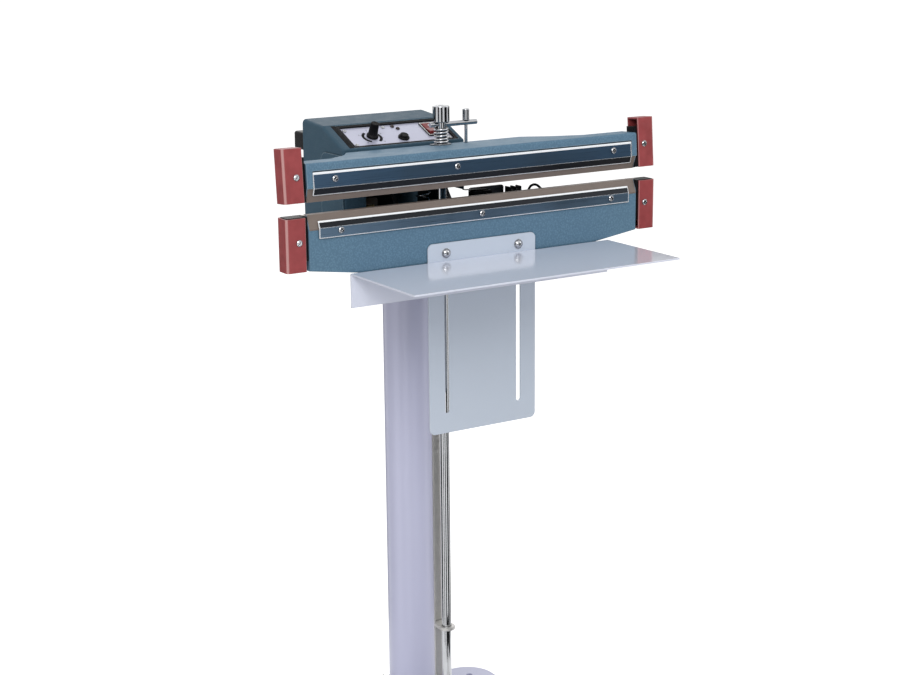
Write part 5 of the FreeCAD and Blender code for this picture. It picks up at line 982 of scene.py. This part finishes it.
class SEALER_OT_print(bpy.types.Operator):
    """Print the timer's scale, the switch's outline and the rocker's marks, and lay the painted shade beside the
    panel's trim
    """

    bl_idname = "sealer.print"
    bl_label = "Print"

    def execute(self, context):
        sizes = context.scene.sealer_sizes
        self.print_scale(sizes)
        self.print_outline(sizes)
        self.print_border(sizes)
        self.print_rocker(sizes)
        return {"FINISHED"}

    def print_scale(self, sizes):
        """Two bold arcs beside the knob, with ticks and plain numbers outside them."""
        thick, arc, steps = sizes.print_thickness, sizes.scale_radius, sizes.dial_numbers
        half_width, half_angle = 0.0018, math.radians(62)
        first, sweep = 225, 270
        tick_start, tick_end, half_tick = arc + 0.0022, arc + 0.0034, 0.00018
        number_reach, number_size = arc + 0.0052, 0.003
        place = on_panel("control_panel", "timer_turn", arc * 2)
        bm = bmesh.new()
        for side in (0, math.pi):
            add_sector(bm, place, arc - half_width, arc + half_width, side - half_angle, side + half_angle, thick)
        for number in range(steps + 1):
            turn = math.radians(first - sweep * number / steps)
            spoke = place @ Matrix.Rotation(turn, 4, "Z")
            add_slab(bm, spoke, (tick_start, -half_tick), (tick_end, half_tick), thick)
            if number % 2 == 0:
                spot = Matrix.Translation((math.cos(turn) * number_reach, math.sin(turn) * number_reach, 0))
                add_text(bm, str(number), number_size, place @ spot, thick)
        piece("timer_scale", bm, "frame", "panel_face", smooth=False, material="ink")

    def print_outline(self, sizes):
        """A pale line on the frame of the mains switch."""
        low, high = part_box("rocker_frame")
        line, margin, thick = 0.0011, 0.0002, sizes.print_thickness
        half_width = (high.x - low.x) / 2 - line - margin
        half_height = half_slope(low, high) * sizes.outline_share - line
        place = on_panel("rocker_frame", "rocker_tilt", half_width + line / 2)
        bm = bmesh.new()
        for side in (-1, 1):
            across = sorted((side * half_width, side * (half_width + line)))
            add_slab(bm, place, (across[0], -half_height - line), (across[1], half_height + line), thick)
            along = sorted((side * half_height, side * (half_height + line)))
            add_slab(bm, place, (-half_width, along[0]), (half_width, along[1]), thick)
        piece("switch_outline", bm, "frame", "black_plastic", smooth=False, material="white_ink")

    def print_border(self, sizes):
        """Painted shade: a black sheet on the housing, to the left of the panel's trim, where its recess is in shade.
        """
        low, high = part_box("panel_bezel")
        centre = (low + high) / 2
        half_width, half_height = sizes.border_width / 2, half_slope(low, high)
        start = Vector((low.x - half_width, centre.y, centre.z)) + OFF_PANEL
        bm = bmesh.new()
        add_slab(bm, surface("control_housing", start, -PANEL_OUT), (-half_width, -half_height),
                 (half_width, half_height), sizes.print_thickness)
        piece("panel_border_shade", bm, "frame", "black_plastic", smooth=False, material="ink")

    def print_rocker(self, sizes):
        """A bar on one half of the rocker and a ring on the other."""
        off_middle, thick = 0.007, sizes.print_thickness
        half_bar = Vector((0.0005, 0.0024))
        ring_inside, ring_outside = 0.0016, 0.0025
        centre = pivot_of("rocker_tilt") + PANEL_OUT * 0.03
        bm = bmesh.new()
        bar = surface("power_rocker", centre - UP_PANEL * off_middle, -PANEL_OUT)
        add_slab(bm, bar, -half_bar, half_bar, thick)
        ring = surface("power_rocker", centre + UP_PANEL * off_middle, -PANEL_OUT)
        add_sector(bm, ring, ring_inside, ring_outside, 0, TURN, thick)
        piece("rocker_marks", bm, "rocker", "rocker_red", smooth=False, material="white_ink")


class SEALER_OT_inlet_pins(bpy.types.Operator):
    """Set the three flat pins in the mains inlet"""

    bl_idname = "sealer.inlet_pins"
    bl_label = "Inlet Pins"

    def execute(self, context):
        width, depth, height, bevel, sunk = 0.002, 0.016, 0.004, 0.0003, 0.001
        pitch, rise = 0.007, 0.001
        openings = frame["record"]["physics"]["openings"]
        socket = next(opening for opening in openings if opening["name"] == "inlet_socket")
        low, high = (Vector(corner) for corner in socket["box_m"])
        centre = (low + high) / 2
        bm = bmesh.new()
        for across, up in ((-pitch, -rise), (0, rise), (pitch, -rise)):
            start = Vector((centre.x + across - width / 2, low.y - sunk, centre.z + up - height / 2))
            add_block(bm, start, start + Vector((width, depth, height)), bevel)
        piece("inlet_pins", bm, "frame", "zinc_steel")
        return {"FINISHED"}


class SEALER_OT_stage(bpy.types.Operator):
    """Set the floor, world, lamps and camera"""

    bl_idname = "sealer.stage"
    bl_label = "Stage"

    def execute(self, context):
        stage = context.scene.sealer_stage
        self.lay_floor(stage)
        self.light_world(context.scene, stage)
        lamps = (
            ("key_lamp", (-1.9, -2.4, 2.7), 1.7, stage.key_power),
            ("fill_lamp", (2.6, -1.6, 1.6), 1.8, stage.fill_power),
            ("back_lamp", (0.8, 2.6, 2.4), 1.6, stage.fill_power),
        )
        for name, place, width, power in lamps:
            self.hang_lamp(name, place, width, power)
        cards = ((-125, 1.0), (-62, 0.35), (-20, 0.45), (32, 0.8), (86, 0.5), (118, 0.6), (176, 0.7))
        dark = finish("Dark Card", Base_Color=DARK_CARD, Roughness=1.0, Specular_IOR_Level=0.0)[0]
        for number, (azimuth, share) in enumerate(cards):
            self.hang_card(f"dark_card_{number}", math.radians(azimuth), stage.card_width * share, dark)
        self.stand_camera(context.scene, stage)
        return {"FINISHED"}

    def hang_card(self, name, azimuth, width, dark):
        """A dark card round the machine, lying and then upright, that only reflections see."""
        near, far, low, high, steps = 0.43, 1.15, 0.003, 0.96, 8
        start = Matrix.Rotation(azimuth - width / 2, 4, "Z")
        bm = bmesh.new()
        bend = [bm.verts.new(start @ Vector(corner)) for corner in ((0, -near, low), (0, -far, low), (0, -far, high))]
        edges = [bm.edges.new(pair) for pair in zip(bend, bend[1:])]
        bmesh.ops.spin(bm, geom=bend + edges, cent=(0, 0, 0), axis=UP, angle=width, steps=steps)
        card = add_object(name, bm, dark)
        card.visible_camera = card.visible_diffuse = card.visible_shadow = card.visible_transmission = False

    def seen_ray(self, nodes):
        """1 where the camera, a reflection or glass looks."""
        path = nodes.add("LightPath").outputs
        seen = nodes.sum("MAXIMUM", path["Is Camera Ray"], path["Is Glossy Ray"])
        return nodes.sum("MAXIMUM", seen, path["Is Transmission Ray"])

    def lay_floor(self, stage):
        """A wide pale floor that keeps the machine's shadow."""
        material, nodes, shader = finish("Floor", Base_Color=opaque((stage.floor_grey,) * 3), Roughness=0.9,
                                         Emission_Color=WHITE)
        nodes.feed(shader, Emission_Strength=nodes.sum("MULTIPLY", self.seen_ray(nodes), stage.floor_glow))
        half_width = 30
        bm = bmesh.new()
        bmesh.ops.create_grid(bm, x_segments=1, y_segments=1, size=half_width)
        add_object("floor", bm, material)

    def light_world(self, scene, stage):
        """Even light, white where it is seen."""
        world = bpy.data.worlds.new("studio")
        world.use_nodes = True
        scene.world = world
        nodes = Nodes(world.node_tree)
        level = nodes.spread(self.seen_ray(nodes), 0.0, 1.0, stage.world_level, 1.0)
        nodes.feed(world.node_tree.nodes["Background"], Color=WHITE, Strength=level)

    def hang_lamp(self, name, place, width, power):
        """A soft square lamp that faces the middle of the machine."""
        aim = Vector((0, -0.1, 0.6))
        lamp = bpy.data.lights.new(name, "AREA")
        lamp.energy = power
        lamp.size = width
        holder = bpy.data.objects.new(name, lamp)
        holder.location = place
        holder.rotation_euler = (aim - Vector(place)).to_track_quat("-Z", "Y").to_euler()
        bpy.context.scene.collection.objects.link(holder)

    def stand_camera(self, scene, stage):
        """The camera at the picture's angle."""
        azimuth, elevation = stage.camera_azimuth, stage.camera_elevation
        back = Vector((math.sin(azimuth) * math.cos(elevation), -math.cos(azimuth) * math.cos(elevation),
                       math.sin(elevation)))
        camera = bpy.data.objects.new("camera", bpy.data.cameras.new("camera"))
        camera.data.lens = stage.camera_lens
        camera.data.sensor_width = 36
        turn = (-back).to_track_quat("-Z", "Y").to_matrix().to_4x4() @ Matrix.Rotation(stage.camera_roll, 4, "Z")
        camera.matrix_world = Matrix.Translation(stage.camera_place) @ turn
        scene.collection.objects.link(camera)
        scene.camera = camera
        scene.view_settings.view_transform = "Standard"


class SEALER_PT_build(bpy.types.Panel):
    """Lists the steps that finish the sealer"""

    bl_label = "Foot Pedal Sealer"
    bl_space_type = "VIEW_3D"
    bl_region_type = "UI"
    bl_category = "Sealer"

    def draw(self, context):
        layout = self.layout
        for step in STEPS:
            layout.operator(step.bl_idname)
        for settings in (context.scene.sealer_colours, context.scene.sealer_sizes, context.scene.sealer_stage):
            box = layout.box()
            for name in settings.__annotations__:
                box.prop(settings, name)


SETTINGS = {"sealer_colours": SealerColours, "sealer_sizes": SealerSizes, "sealer_stage": SealerStage}
STEPS = (SEALER_OT_finishes, SEALER_OT_springs, SEALER_OT_welds, SEALER_OT_threads, SEALER_OT_print,
         SEALER_OT_inlet_pins, SEALER_OT_stage)


def register():
    """Adds the settings, steps and panel."""
    for name, kind in SETTINGS.items():
        bpy.utils.register_class(kind)
        setattr(bpy.types.Scene, name, PointerProperty(type=kind))
    for step in (*STEPS, SEALER_PT_build):
        bpy.utils.register_class(step)


def unregister():
    """Takes them away again."""
    for step in reversed((*STEPS, SEALER_PT_build)):
        bpy.utils.unregister_class(step)
    for name, kind in SETTINGS.items():
        delattr(bpy.types.Scene, name)
        bpy.utils.unregister_class(kind)


def main():
    """Runs every step."""
    register()
    for step in STEPS:
        group, name = step.bl_idname.split(".")
        getattr(getattr(bpy.ops, group), name)()


if __name__ == "__main__":
    main()
